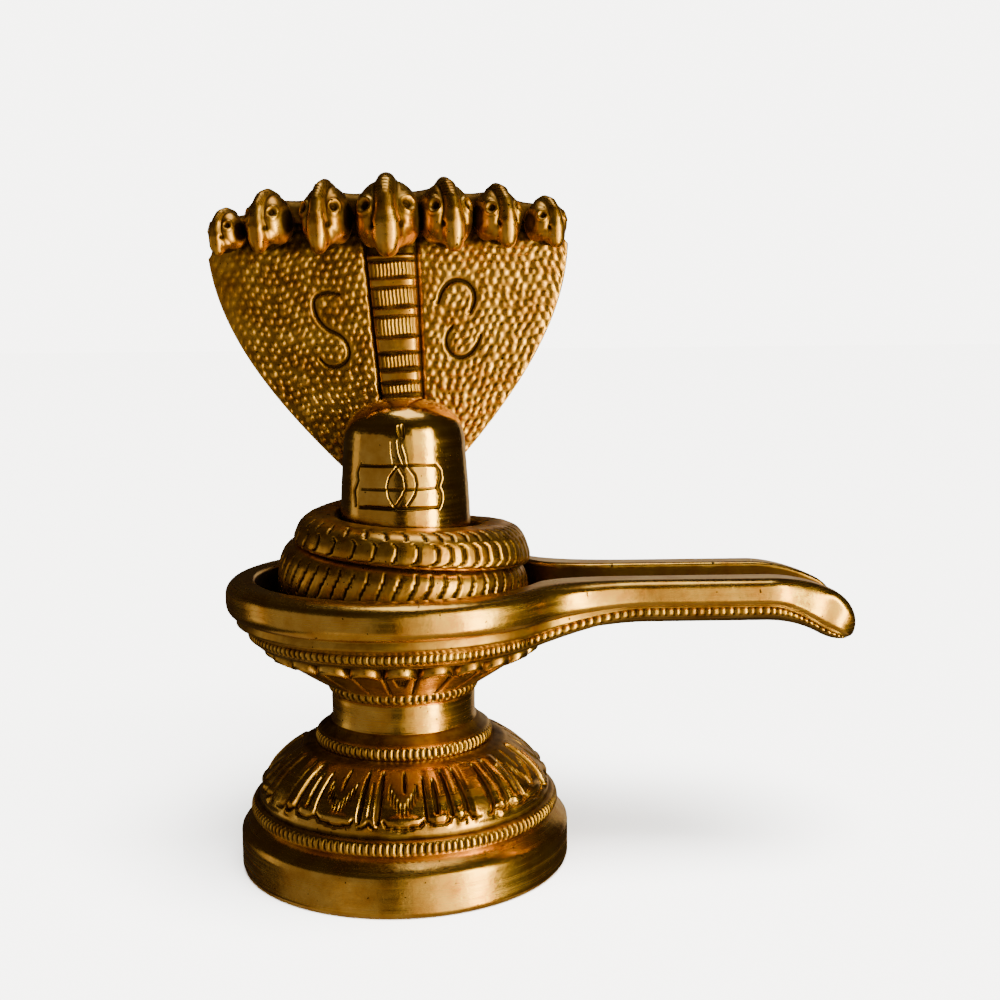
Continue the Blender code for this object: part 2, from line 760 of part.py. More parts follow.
def make_cobra(parts, cutters):
    hood = grid_sheet("hood", HOOD_COLUMNS, HOOD_ROWS, hood_place, cutters)
    thicken(hood, HOOD_THICKNESS)
    rows = BELLY_BAR_ROWS * BELLY_BARS
    belly = grid_sheet("belly", 2, rows, belly_place, cutters)
    thicken(belly, BELLY_RAISE + BELLY_ROOT)
    combine(hood, belly, "UNION")
    combine(hood, make_spine(cutters), "UNION")
    for number in range(len(HEAD_PLACES)):
        combine(hood, make_head(number, cutters), "UNION")
    hood.data.transform(hood_lean())
    cobra = make_coil("cobra", parts)
    combine(cobra, hood, "UNION", joins_itself=True)
    finish(cobra, brass("aged_brass_cobra", BRASS_COBRA, 0.34))


def main():
    clear_scene()
    parts = add_collection("shiva_lingam")
    cutters = add_collection("cutters")
    make_pedestal(parts, cutters)
    make_pillar(parts, cutters)
    make_cobra(parts, cutters)


main()
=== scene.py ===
"""Cast brass shiva lingam: the carved pedestal and yoni basin, the engraved pillar and
the coiled seven-headed cobra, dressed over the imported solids. Lengths are in
millimetres until a mesh is made, where MM turns them to metres."""

import math

import bpy
import numpy as np
from mathutils import Matrix, Vector


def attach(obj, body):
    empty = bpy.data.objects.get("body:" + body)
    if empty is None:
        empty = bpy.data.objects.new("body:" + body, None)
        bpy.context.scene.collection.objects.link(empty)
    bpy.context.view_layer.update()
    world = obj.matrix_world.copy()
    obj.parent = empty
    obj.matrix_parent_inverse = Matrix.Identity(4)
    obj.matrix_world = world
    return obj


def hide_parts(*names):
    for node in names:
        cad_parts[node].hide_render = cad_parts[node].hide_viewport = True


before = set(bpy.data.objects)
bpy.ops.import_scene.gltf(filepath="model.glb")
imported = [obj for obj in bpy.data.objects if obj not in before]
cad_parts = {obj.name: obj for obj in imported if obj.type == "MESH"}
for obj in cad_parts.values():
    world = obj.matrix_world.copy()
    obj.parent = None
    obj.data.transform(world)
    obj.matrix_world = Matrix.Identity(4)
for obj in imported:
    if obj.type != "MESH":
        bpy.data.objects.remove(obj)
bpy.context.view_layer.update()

MM = 0.001
FRONT = -0.5 * math.pi
# Points nearer than this, in metres, are merged
MERGE_DISTANCE = 0.000002

# Sizes repeated from the solids
FOOT_RADIUS = 28.0
RIM_RADIUS = 29.4
RIM_TOP = 49.2
BASIN_RADIUS = 24.5
BASIN_DEPTH = 6.2
BASIN_FLOOR = 43.0
NECK_RADIUS = 12.2
PILLAR_OFFSET = 0.9
PILLAR_RADIUS = 11.3
PILLAR_TAPER = 1.1
PILLAR_BASE = 43.35
PILLAR_SHOULDER = 70.7
PILLAR_DOME = 8.0
# Roundness of the pillar's dome: 1 is an ellipse, and less is squarer
DOME_POWER = 0.8
COIL_OFFSET = (0.4, 0.5)
COIL_RADIUS = 16.9
COIL_TOP_RADIUS = 14.2
BODY_RADIUS = 4.15
BODY_NECK_RADIUS = 3.25
TAIL_RADIUS = 1.1
# Roundness of the cobra's body, which is squarer than an ellipse
BODY_POWER = 0.66
HOOD_BASE = 60.0
HOOD_HEIGHT = 51.5
HOOD_WIDEST = 46.0
HOOD_HALF = 31.6
HOOD_BACK = 17.6
HOOD_THICKNESS = 3.0
HOOD_SHIFT = -1.4
HOOD_LEAN_DEG = 2.0

# Camera, from the ellipses of the foot, neck and rim in the photograph
CAMERA_PLACE = (13.1, -218.1, 88.0)
CAMERA_YAW = 0.99
CAMERA_PITCH = -6.97
CAMERA_ROLL = -0.55
CAMERA_LENS = 46.8


def hex_colour(code):
    """An sRGB hex value as linear red, green, blue and alpha."""
    channels = [int(code[i:i + 2], 16) / 255.0 for i in (0, 2, 4)]
    linear = [c / 12.92 if c <= 0.04045 else ((c + 0.055) / 1.055) ** 2.4 for c in channels]
    return (*linear, 1.0)


def ease(value, low=0.0, high=1.0):
    """Smooth rise from 0 at low to 1 at high."""
    share = np.clip((np.asarray(value, float) - low) / (high - low), 0.0, 1.0)
    return share * share * (3.0 - 2.0 * share)


def waver(along, seed):
    """Slow unevenness of handwork between about -1 and 1."""
    return (np.sin(along * 1.0 + seed * 1.7) + np.sin(along * 2.3 + seed * 4.1)
            + np.sin(along * 5.1 + seed * 0.6)) / 3.0


def scatter(row, column, seed):
    """A fixed random share for a numbered place."""
    value = np.sin(row * 12.9898 + column * 78.233 + seed * 37.719) * 43758.5453
    return value - np.floor(value)


def mound(away, half, power=2):
    """A soft mound, 1 where away is 0, that has faded out by about twice half."""
    return np.exp(-(away / half) ** power)


def deepest(shade, *others):
    """The largest of the shades at each point."""
    for other in others:
        shade = np.maximum(shade, other)
    return shade


def spread(x, y, z):
    """Points from their three coordinates, each spread over the others' shape."""
    return np.stack(np.broadcast_arrays(x, y, z), axis=-1)


def run_along(points):
    """Distance along a line of points, from its start to each of them."""
    steps = np.linalg.norm(np.diff(points, axis=0), axis=1)
    return np.concatenate([[0.0], np.cumsum(steps)])


def add_piece(name, node, material, places, patina_and_shade):
    """A grid primitive whose points go to places[u, v], with its doubles merged. Its point
    attribute says how dark a point is, from 0 to 1: patina in the carving, and painted
    shade in creases, under parts and behind them."""
    bpy.ops.object.select_all(action="DESELECT")
    columns, rows = places.shape[0] - 1, places.shape[1] - 1
    bpy.ops.mesh.primitive_grid_add(x_subdivisions=columns, y_subdivisions=rows, size=2.0)
    item = bpy.context.object
    item.name = name
    mesh = item.data
    mesh.name = name
    flat = np.empty(len(mesh.vertices) * 3, np.float32)
    mesh.vertices.foreach_get("co", flat)
    share = 0.5 * (flat.reshape(-1, 3) + 1.0)
    i = np.rint(share[:, 0] * columns).astype(int)
    j = np.rint(share[:, 1] * rows).astype(int)
    mesh.vertices.foreach_set("co", (places[i, j] * MM).astype(np.float32).ravel())
    layer = mesh.attributes.new("patina_and_shade", "FLOAT", "POINT")
    layer.data.foreach_set("value", np.clip(patina_and_shade[i, j], 0.0, 1.0).astype(np.float32))
    bpy.ops.object.mode_set(mode="EDIT")
    bpy.ops.mesh.select_all(action="SELECT")
    bpy.ops.mesh.remove_doubles(threshold=MERGE_DISTANCE)
    bpy.ops.mesh.normals_make_consistent(inside=False)
    bpy.ops.object.mode_set(mode="OBJECT")
    bpy.ops.object.shade_smooth()
    item.data.materials.append(material)
    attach(item, "root")
    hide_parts(node)


# Outlines and strokes

# How much further apart the points of a plain part lie
PLAIN_PACE = 7.0


def along_outline(rows, step, is_plain):
    """Points of an outline at an even step, and further apart where is_plain(across,
    height) says that nothing is carved or seen. A row is (across, height, round), and
    a corner with a round is softened by a short curve."""
    dense = []
    count = len(rows)
    for index, row in enumerate(rows):
        here = np.array(row[:2], float)
        soft = row[2] if len(row) > 2 else 0.0
        if soft <= 0.0 or index in (0, count - 1):
            dense.append(here)
            continue
        away = [np.array(rows[index + side][:2], float) - here for side in (-1, 1)]
        start, end = (here + side * min(0.5, soft / np.linalg.norm(side)) for side in away)
        for t in np.linspace(0.0, 1.0, 7):
            dense.append((1 - t) ** 2 * start + 2 * t * (1 - t) * here + t * t * end)
    dense = np.array(dense)
    lengths = np.linalg.norm(np.diff(dense, axis=0), axis=1)
    middle = 0.5 * (dense[1:] + dense[:-1])
    pace = np.where(is_plain(middle[:, 0], middle[:, 1]), PLAIN_PACE, 1.0)
    run = np.concatenate([[0.0], np.cumsum(lengths / pace)])
    keep = np.concatenate([[True], lengths > 1e-6])
    samples = np.linspace(0.0, run[-1], max(2, int(round(run[-1] / step))) + 1)
    across = np.interp(samples, run[keep], dense[keep, 0])
    height = np.interp(samples, run[keep], dense[keep, 1])
    return np.stack([across, height], axis=1)


def rounded(points):
    """The points of a line with its corners cut off twice."""
    for _ in range(2):
        pairs = list(zip(points, points[1:]))
        cut = []
        for (ax, ay), (bx, by) in pairs:
            cut.append((0.75 * ax + 0.25 * bx, 0.75 * ay + 0.25 * by))
            cut.append((0.25 * ax + 0.75 * bx, 0.25 * ay + 0.75 * by))
        points = [points[0]] + cut + [points[-1]]
    return points


def stroke_depth(x, y, strokes):
    """Depth cut at (x, y) by chisel strokes of (points, width, depth). Their widths
    taper at both ends."""
    cut = np.zeros(np.broadcast(x, y).shape)
    for points, width, depth in strokes:
        points = np.array(points, float)
        (low_x, low_y), (high_x, high_y) = points.min(axis=0) - width, points.max(axis=0) + width
        near = (x > low_x) & (x < high_x) & (y > low_y) & (y < high_y)
        px, py = x[near], y[near]
        best = np.full(px.shape, width)
        runs = run_along(points)
        for (ax, ay), (bx, by), start, end in zip(points, points[1:], runs, runs[1:]):
            share = ((px - ax) * (bx - ax) + (py - ay) * (by - ay)) / (end - start) ** 2
            share = np.clip(share, 0.0, 1.0)
            away = np.hypot(px - ax - share * (bx - ax), py - ay - share * (by - ay))
            run = (start + share * (end - start)) / runs[-1]
            taper = 0.55 + 0.45 * np.sin(math.pi * np.clip(run, 0.02, 0.98)) ** 0.5
            best = np.minimum(best, away / taper)
        cut[near] = np.maximum(cut[near], depth * np.clip(1.0 - (2.0 * best / width) ** 2, 0.0, 1.0))
    return cut


def turned(name, material, step, columns, carve, rows):
    """A turned part of the pedestal from its outline, given from the underside up the
    outer side. Its flat ends and its bore are inside the pedestal. carve(angle, height,
    radius) gives the cut inward and the darkness: patina in the carving and painted shade."""
    bore = min(row[0] for row in rows) + 0.05
    bottom = min(row[1] for row in rows) + 0.05
    top = max(row[1] for row in rows) - 0.05
    outline = along_outline(
        rows, step, lambda across, height: (across < bore) | (height < bottom) | (height > top))
    tangent = np.gradient(outline, axis=0)
    tangent /= np.maximum(np.linalg.norm(tangent, axis=1), 1e-9)[:, None]
    angle = np.linspace(-math.pi, math.pi, columns + 1)[:, None]
    angle, radius, height = np.moveaxis(spread(angle, outline[:, 0], outline[:, 1]), -1, 0)
    patina_and_shade = np.zeros(radius.shape)
    if carve:
        cut, patina_and_shade = carve(angle, height, radius)
        radius = radius - cut * tangent[:, 1]
        height = height + cut * tangent[:, 0]
    places = spread(radius * np.cos(angle), radius * np.sin(angle), height)
    places[-1] = places[0]
    patina_and_shade[-1] = patina_and_shade[0]
    add_piece(name, "pedestal_and_yoni", material, places, patina_and_shade)


# Pedestal

def beads(middle, half, count, depth, cut_share, darkening, seed):
    """A carve for a ring of thin upright chisel cuts, a little uneven. The cut share is
    the part of the pitch that a cut takes. The ring's edges, where it meets the parts
    beside it, get a painted shade of the given strength, and the cuts hold patina."""

    def carve(angle, height, radius):
        phase = angle * count / math.tau + 0.16 * waver(angle * 4.0, seed)
        number = np.round(phase)
        away = np.abs(phase - number)
        force = 0.65 + 0.35 * scatter(number, 0.0, seed)
        across = np.clip(1.0 - ((height - middle) / half) ** 4, 0.0, 1.0)
        # Painted shade along the ring's edges, where it meets the parts beside it
        edge = darkening * ease(np.abs(height - middle), half - 0.05, half + 0.35)
        shade = deepest(mound(away, 1.5 * cut_share) * across, edge)
        return depth * mound(away, cut_share) * across * force, shade

    return carve


LOTUS_UNITS = 8
LOTUS_JOINT = math.radians(-11.0)
LOTUS_LOW = 12.9
LOTUS_HIGH = 20.0
# Height of a lotus unit's field against its width
LOTUS_TALL = 0.62


def lotus_strokes():
    """Strokes of one lotus unit: points (share across, share up), width and depth."""
    strokes = [
        ([(0.078, 0.14), (0.078, 0.97)], 0.066, 1),
        ([(0.000, 0.24), (0, 0.80)], 0.022, 0.5),
        ([(0, 0.16), (0.028, 0.07), (0.085, 0.03)], 0.034, 0.8),
        ([(0.495, 0.16), (0.50, 0.90)], 0.034, 0.8),
        ([(0.585, 0.30), (0.595, 0.84)], 0.056, 1),
        ([(0.725, 0.22), (0.715, 0.97)], 0.060, 1),
        ([(0.875, 0.26), (0.865, 0.97)], 0.056, 1),
        ([(0.875, 0.26), (0.905, 0.13), (0.965, 0.13)], 0.034, 0.8),
        ([(0.31, 0.70), (0.31, 0.99)], 0.034, 0.9),
        ([(0.13, 0.20), (0.16, 0.09), (0.23, 0.06), (0.29, 0.02), (0.35, 0.06), (0.43, 0.09),
          (0.475, 0.18)], 0.036, 0.9),
        ([(0.50, 0.18), (0.54, 0.10), (0.61, 0.07), (0.68, 0.12), (0.70, 0.20)], 0.034, 0.85),
        ([(0.745, 0.20), (0.79, 0.11), (0.85, 0.20)], 0.034, 0.85),
    ]
    for number in range(5):
        up = 0.28 + 0.075 * number
        for side in (-1.0, 1.0):
            aside = 0.30 + side * (0.014 + 0.027 * number)
            strokes.append(([(aside, up), (aside + 0.006 * side, up + 0.22)], 0.019, 0.55))
    return strokes


def carve_lotus(angle, height, radius):
    """Eight mirrored lotus units: slots, a feathered leaf, loops and round lobes."""
    turn = (angle - FRONT - LOTUS_JOINT) * LOTUS_UNITS / math.tau
    turn = turn + 0.012 * waver(angle * 5.0, 8.0)
    unit = np.floor(turn)
    across = turn - unit
    across = np.where(unit % 2 == 0, across, 1.0 - across)
    up = (height - LOTUS_LOW) / (LOTUS_HIGH - LOTUS_LOW)
    inside = ease(up, -0.02, 0.03) * (1.0 - ease(up, 1.0, 1.05))
    cut = stroke_depth(across, up * LOTUS_TALL, [
        ([(a, b * LOTUS_TALL) for a, b in points], width, depth)
        for points, width, depth in lotus_strokes()])
    cut = np.clip(1.6 * cut, 0.0, 1.0)
    lobe = 0.0
    for proud, aside, wide, low, tall in (
            (0.75, 0.30, 0.14, 0.19, 0.10), (0.60, 0.605, 0.08, 0.22, 0.09),
            (0.55, 0.795, 0.05, 0.25, 0.09)):
        lobe = lobe + proud * mound(np.hypot((across - aside) / wide, (up - low) / tall), 1.0, 4)
    bars = 0.35 * ease(np.abs(across - 0.5), 0.40, 0.44)
    bars = bars + 0.30 * mound(across - 0.795, 0.045, 4) + 0.25 * mound(across - 0.60, 0.075, 4)
    leaf = ease(across, 0.12, 0.16) * (1.0 - ease(across, 0.44, 0.48)) * inside
    # The slots and strokes hold patina, and the bands at the dome's top and foot, where it meets the bead
    # rings, are painted shade.
    patina_and_shade = deepest(
        inside * cut,
        0.28 * leaf * ease(up, 0.3, 0.5),
        0.55 * ease(height, 20.0, 20.7),
        0.7 * ease(-height, -12.6, -12.0))
    return inside * (0.70 * cut - 0.55 * lobe - bars), patina_and_shade


# The bowl's shells: how many, and the height where they start and how far they rise
BOWL_SHELLS = 24
BOWL_LOW = 31.2
BOWL_TALL = 7.4


def carve_bowl(angle, height, radius):
    """Scalloped shells round the bowl with dark punches between their shoulders, and
    a fan of short cuts in every third."""
    turn = (angle - FRONT) * BOWL_SHELLS / math.tau + 0.35 + 0.05 * waver(angle * 3.0, 6.0)
    unit = np.floor(turn)
    across = 2.0 * (turn - unit) - 1.0
    side = (1.0 - np.abs(across)) * math.pi * radius / BOWL_SHELLS
    up = (height - BOWL_LOW) / BOWL_TALL
    inside = ease(up, -0.04, 0.06) * (1.0 - ease(up, 1.02, 1.08))
    arch = 0.62 + 0.26 * np.sqrt(np.clip(1.0 - across ** 2, 0.0, 1.0))
    above = ease(up, arch + 0.01, arch + 0.05)
    edge = mound(up - arch + 0.03, 0.04)
    seam = mound(side, 0.24) * (1.0 - above)
    drop = mound(np.hypot(side / 0.5, (up - 0.82) / 0.055), 1.0, 3)
    fan = 0.0
    for lean in range(-3, 4):
        ray = mound(across - 0.30 * lean * (up - 0.15), 0.05)
        fan = np.maximum(fan, ray * ease(up, 0.34, 0.40) * (1.0 - ease(up, 0.60, 0.66)))
    fan = fan * (unit % 3 == 0)
    bulge = (1.0 - above) * np.sqrt(np.clip(1.0 - across ** 2, 0.0, 1.0))
    trough = mound(up - arch + 0.12, 0.045)
    cut = (0.55 * above - 0.25 * bulge - 0.60 * edge + 0.22 * trough + 0.5 * seam + 0.8 * drop
           + 0.4 * fan)
    shade = 0.85 * above * (1.0 - edge) + 0.85 * seam + drop + 0.8 * fan + 0.35 * trough
    # Painted shade on the lower part of each shell
    shade = shade + 0.20 * (1.0 - above) * (1.0 - edge) * ease(-up, -0.80, -0.5)
    return inside * cut, inside * np.clip(shade, 0.0, 1.0)


def make_foot(material):
    """Drum, bead rings, lotus dome, neck and bowl, from the table up. Each has its step
    along the outline, its columns, its carving and its outline."""
    parts = (
        ("foot_drum", 0.36, 240, None, (
            (0, 0), (27.3, 0, 0.3), (FOOT_RADIUS, 0.5, 0.4), (FOOT_RADIUS, 6.5, 0.5),
            (27.3, 7.3, 0.5), (26.3, 8.1, 0.4), (25.2, 8.9, 0.4), (25, 9.6), (0, 9.6))),
        ("low_bead_ring", 0.16, 912, beads(10.35, 1.05, 152, 0.5, 0.15, 0.55, 1), (
            (20, 9), (25.4, 9, 0.3), (26.1, 9.35, 0.5), (26.35, 10.35, 0.5),
            (25.9, 11.3, 0.5), (25, 11.7, 0.3), (20, 11.7), (20, 9))),
        ("lotus_dome", 0.28, 864, carve_lotus, (
            (13, 11), (24.6, 11, 0.3), (24.9, 11.7, 0.4), (24.75, 12.6, 0.5),
            (24.5, 13.2, 0.5), (24, 14.4, 1), (22.8, 16.2, 1.6), (20.6, 18.3, 1.6),
            (18.2, 19.9, 1.2), (16.6, 20.7, 0.6), (15.4, 20.9, 0.3), (14, 20.6),
            (13, 20.6), (13, 11))),
        ("upper_bead_ring", 0.18, 528, beads(21.9, 0.95, 88, 0.55, 0.14, 0.6, 2), (
            (11, 20.3), (14.4, 20.3, 0.2), (15, 20.9, 0.4), (15.2, 21.9, 0.5),
            (14.8, 22.8, 0.4), (14.2, 23.1, 0.3), (13.4, 23.7, 0.5), (12.9, 24.3, 0.3),
            (12.3, 24.6), (11, 24.6), (11, 20.3))),
        ("neck", 0.35, 160, None, (
            (8, 24), (12.5, 24, 0.2), (12.6, 24.4, 0.3), (12.25, 24.8, 0.3),
            (NECK_RADIUS, 26.6, 0.5), (12.25, 28.7, 0.3), (12, 29.3, 0.2), (8, 29.3),
            (8, 24))),
        ("bowl_bead_ring", 0.16, 434, beads(30.3, 0.75, 62, 0.45, 0.16, 0, 3), (
            (8, 29), (12, 29, 0.2), (12.5, 29.5, 0.4), (12.95, 30.3, 0.5),
            (12.7, 31, 0.4), (12.2, 31.4), (8, 31.4), (8, 29))),
        ("bowl_shells", 0.27, 744, carve_bowl, (
            (8, 31), (12.6, 31, 0.2), (13.5, 31.4, 0.5), (16.5, 33.3, 1.5),
            (20.5, 36, 1.5), (24.2, 38.4, 0.5), (24.4, 38.9), (8, 38.9), (8, 31))),
    )
    for name, *shape in parts:
        turned(name, material, *shape)


# Yoni basin and spout: one surface, whose sections run round the rim and down the spout

def arc(centre_x, centre_y, across, tall, start, end, count):
    turn = np.radians(np.linspace(start, end, count + 1))
    return [(centre_x + across * math.cos(a), centre_y + tall * math.sin(a)) for a in turn]


def line(start, end, count):
    return [tuple(p) for p in np.linspace(start, end, count + 1)[1:]]


def rim_section(inner, outer, floor, draft, fillet, band, soft, under, ring, ring_half, ring_out,
                mould, foot, keel):
    """Section from the middle of the floor, over the rim and back under it, as (across,
    height under the rim's top), with the index of the top and those of the tick ring."""
    wall = inner - draft
    points = [(0.0, -floor)] + line((0.0, -floor), (wall - fillet, -floor), 5)
    points += arc(wall - fillet, fillet - floor, fillet, fillet, -90.0, 0.0, 5)[1:]
    points += line((wall, fillet - floor), (inner, -0.7), 5)
    points += arc(inner + 0.7, -0.7, 0.7, 0.7, 180.0, 90.0, 6)[1:]
    points += line((inner + 0.7, 0.0), (outer - soft, 0.0), 6)
    top = len(points) - 1
    points += arc(outer - soft, -0.95 * soft, soft, 0.95 * soft, 90.0, 0.0, 12)[1:]
    points += line((outer, -0.95 * soft), (outer, under - band), 6)
    points += arc(outer - 0.8 * under, under - band, 0.8 * under, under, 0.0, -80.0, 12)[1:]
    groove = (points[-1][0] - 0.5, -band - 0.05)
    high = 0.05 + ring_half - ring
    tall = groove[1] - high
    for corner, count in (
            (groove, 3), ((mould, groove[1] - 0.25 * tall), 3), ((mould + 0.1, groove[1] - 0.5 * tall), 2),
            ((ring_out + 0.3, high + 0.12 * tall), 3), ((ring_out - 0.35, high), 3)):
        points += line(points[-1], corner, count)
    ring_start = len(points)
    points += arc(ring_out - 0.35, high - ring_half, 0.42, ring_half, 90.0, -90.0, 12)[1:]
    ring_end = len(points)
    for corner, count in ((foot, 4), ((0.75 * foot[0], keel), 2), ((0.0, keel), 3)):
        points += line(points[-1], corner, count)
    return np.array(points), top, (ring_start, ring_end)


# The spout runs straight, dips along a wide bend, and its lip is rounded off
SPOUT_START = 41.0
SPOUT_BEND_START = 60.4
SPOUT_BEND_RADIUS = 26.0
SPOUT_BEND = math.radians(27.0)
SPOUT_END_LEAN = math.radians(14.0)
SPOUT_END_ROUND = 5.4
SHOULDER_LENGTH = 20.0
# About where the rim's round part ends, turned from the spout's middle
SHOULDER_TURN = math.radians(36.0)
# The ticks under the rim and the spout
TICK_PITCH = 1.22
TICK_DEPTH = 0.36


def spout_place(section, run, onward=0.0):
    """A section of the spout at a run from the basin's middle, or onward past the lip."""
    bend = max(0.0, run - SPOUT_BEND_START) / SPOUT_BEND_RADIUS
    lean = SPOUT_END_LEAN * bend / SPOUT_BEND
    x = min(run, SPOUT_BEND_START) + SPOUT_BEND_RADIUS * math.sin(bend)
    z = RIM_TOP - SPOUT_BEND_RADIUS * (1.0 - math.cos(bend))
    return spread(
        x + section[:, 1] * math.sin(lean) + onward * math.cos(bend),
        section[:, 0],
        z + section[:, 1] * math.cos(lean) - onward * math.sin(bend))


def shoulder_place(circle, spout, leave, share):
    """The rim's section, a share of its way along smooth curves into the spout's."""
    start = np.stack([circle[:, 0] * np.cos(leave), circle[:, 0] * np.sin(leave)], axis=1)
    end = np.stack([np.full(len(spout), SPOUT_START), spout[:, 0]], axis=1)
    reach = np.hypot(end[:, 0] - start[:, 0], end[:, 1] - start[:, 1])
    pull = np.stack([np.sin(leave), -np.cos(leave)], axis=1)
    pull *= (0.95 * reach * ease(circle[:, 0], 0.0, 12.0))[:, None]
    push = np.stack([reach, np.zeros(len(spout))], axis=1)
    square, cube = share ** 2, share ** 3
    flat = (2 * cube - 3 * square + 1) * start + (cube - 2 * square + share) * pull
    flat = flat + (3 * square - 2 * cube) * end + (cube - square) * push
    height = circle[:, 1] + (spout[:, 1] - circle[:, 1]) * ease(share)
    return spread(flat[:, 0], flat[:, 1], RIM_TOP + height)


def closed_lip(lip, top):
    """The line midway between the trough's inner and outer face, where the lip closes."""
    inner, outer = lip[:top + 1], lip[top:][::-1]
    inner_run, outer_run = run_along(inner), run_along(outer)
    inner_run /= inner_run[-1]
    outer_run /= outer_run[-1]
    closing = 0.52 * np.concatenate([inner_run, outer_run[-2::-1]])
    return 0.5 * np.stack([
        np.interp(closing, inner_run, inner[:, c]) + np.interp(closing, outer_run, outer[:, c])
        for c in (0, 1)], axis=1)


def make_yoni(material):
    circle, top, ring = rim_section(
        BASIN_RADIUS, RIM_RADIUS, BASIN_DEPTH, 0.4, 1.6, 5.8, 2.5, 2.1, 9.1, 0.7, 25.9, 27.7,
        (24.5, -10.7), -11.4)
    spout, top, ring = rim_section(
        5.7, 11.8, 4.4, 1.0, 1.1, 4.2, 1.9, 1.3, 5.6, 0.7, 9.7, 10.5, (8.9, -6.6), -7.7)
    lip, top, ring = rim_section(
        5.0, 8.6, 4.2, 0.9, 1.0, 6.0, 1.9, 1.2, 6.9, 0.3, 6.9, 7.3, (5.9, -7.5), -7.9)
    closed = closed_lip(lip, top)
    leave = np.arcsin(np.clip(spout[:, 0] / np.maximum(circle[:, 0], 1e-6), 0.0, 1.0))
    leave = np.where(circle[:, 0] < 0.01, 0.0, 1.25 * leave + math.radians(9.0))
    round_length = RIM_RADIUS * (math.pi - SHOULDER_TURN)
    bend_length = SPOUT_BEND_RADIUS * SPOUT_BEND
    step = 0.295
    half = []
    for share in np.arange(0.0, round_length, step) / round_length:
        angle = math.pi - share * (math.pi - leave)
        half.append(spread(
            circle[:, 0] * np.cos(angle), circle[:, 0] * np.sin(angle), RIM_TOP + circle[:, 1]))
    for share in np.arange(0.0, SHOULDER_LENGTH, step) / SHOULDER_LENGTH:
        half.append(shoulder_place(circle, spout, leave, share))
    for run in np.arange(0.0, SPOUT_BEND_START - SPOUT_START, 1.15 * step):
        half.append(spout_place(spout, SPOUT_START + run))
    for share in np.linspace(0.0, 1.0, int(bend_length / step)):
        section = spout + (lip - spout) * ease(share)
        half.append(spout_place(section, SPOUT_BEND_START + share * bend_length))
    for share in np.sin(np.linspace(0.06, 0.5 * math.pi, 24)):
        section = lip + (closed - lip) * (1.0 - math.sqrt(max(0.0, 1.0 - share ** 2)))
        half.append(spout_place(section, SPOUT_BEND_START + bend_length, SPOUT_END_ROUND * share))
    half = np.array(half)
    # Ticks on the ring under the rim, at an even step along it
    run = run_along(half[:, top + 12])
    phase = run / TICK_PITCH + 0.12 * waver(run * 0.2, 5.0)
    number = np.round(phase)[:, None]
    away = phase[:, None] - number
    row = np.arange(len(circle))
    on_ring = (row > ring[0]) & (row < ring[1])
    notch = mound(away, 0.15) * (0.55 + 0.45 * scatter(number, 1.0, 5.0)) * on_ring
    groove = mound(row - ring[0] + 0.5, 1.3) + mound(row - ring[1] - 1.5, 1.5)
    groove = groove + mound(row - top - 31.0, 1.6)
    trough = 1.0 - ease(row, 14.0, 18.0)
    # The tick notches hold patina. The creases along the tick ring's edges and under the rim's band are
    # painted shade, the moulding between them is evenly darker, and the basin's floor with the foot of its
    # wall is painted shade under the coil.
    patina_and_shade = deepest(
        mound(away, 0.20) * on_ring,
        0.7 * groove,
        0.30 * ((row > top + 30) & (row < ring[0])),
        0.85 * trough)
    normal = np.cross(np.gradient(half, axis=0), np.gradient(half, axis=1))
    normal /= np.maximum(np.linalg.norm(normal, axis=2), 1e-9)[:, :, None]
    outward = half - half.mean(axis=(0, 1))
    sign = np.sign((normal[:, ring[0] + 6] * outward[:, ring[0] + 6]).sum())
    half = half - TICK_DEPTH * sign * normal * notch[:, :, None]
    other = half * (1.0, -1.0, 1.0)
    places = np.concatenate([other[::-1], half[1:]])
    shade = np.concatenate([patina_and_shade[::-1], patina_and_shade[1:]])
    add_piece("yoni_basin_and_spout", "pedestal_and_yoni", material, places, shade)


# Pillar

def pillar_strokes():
    """The engraved face, as seen from the front: distance right of the pillar's
    middle and height, then stroke width and depth."""
    low, middle, high = 61.4, 64.5, 68.3
    return [
        ([(-7.5, high - 0.1), (-3, high), (1, high + 0.1), (5.4, high - 0.1)], 0.42, 0.32),
        ([(-7.4, middle - 0.1), (0, middle), (5.3, middle)], 0.36, 0.30),
        ([(-7.6, low), (-6, low + 0.15), (-3.5, low + 0.05), (1, low), (5.5, low)], 0.62, 0.40),
        ([(-7.6, 68.6), (-8.2, 67), (-8, 65.7), (-8.6, 64), (-8.4, 62.6), (-8.3, 61.6)],
         0.46, 0.36),
        ([(5.3, 68.2), (6, 67.3), (6.1, 66), (5.5, 64.7), (6, 63.6), (6, 62.4), (5.6, 61.3)],
         0.60, 0.36),
        ([(-1.3, 68.2), (-2.7, 66.4), (-3.1, 64.7), (-2.7, 63.1), (-1.8, 61.6)], 0.42, 0.36),
        ([(-1.2, 68.2), (-0.1, 66.6), (0.15, 64.9), (-0.4, 63.5), (-1.3, 62.2), (-1.8, 61.6)],
         0.42, 0.36),
        ([(0.5, 68.1), (1.7, 66.7), (2, 65.3), (1.6, 63.6), (0.3, 61.8)], 0.42, 0.36),
        ([(-2.4, 72.2), (-2.3, 70.3), (-2, 68.5)], 0.26, 0.24),
        ([(-1.2, 72.3), (-0.9, 70.3), (-0.2, 68.5)], 0.34, 0.30),
        ([(-0.3, 71.6), (0.3, 70), (0.5, 68.6)], 0.26, 0.24),
        ([(-1, 74.5), (-0.6, 73)], 0.9, 0.30),
        ([(-0.3, 74.6), (-0.3, 72.9)], 0.9, 0.30),
    ]


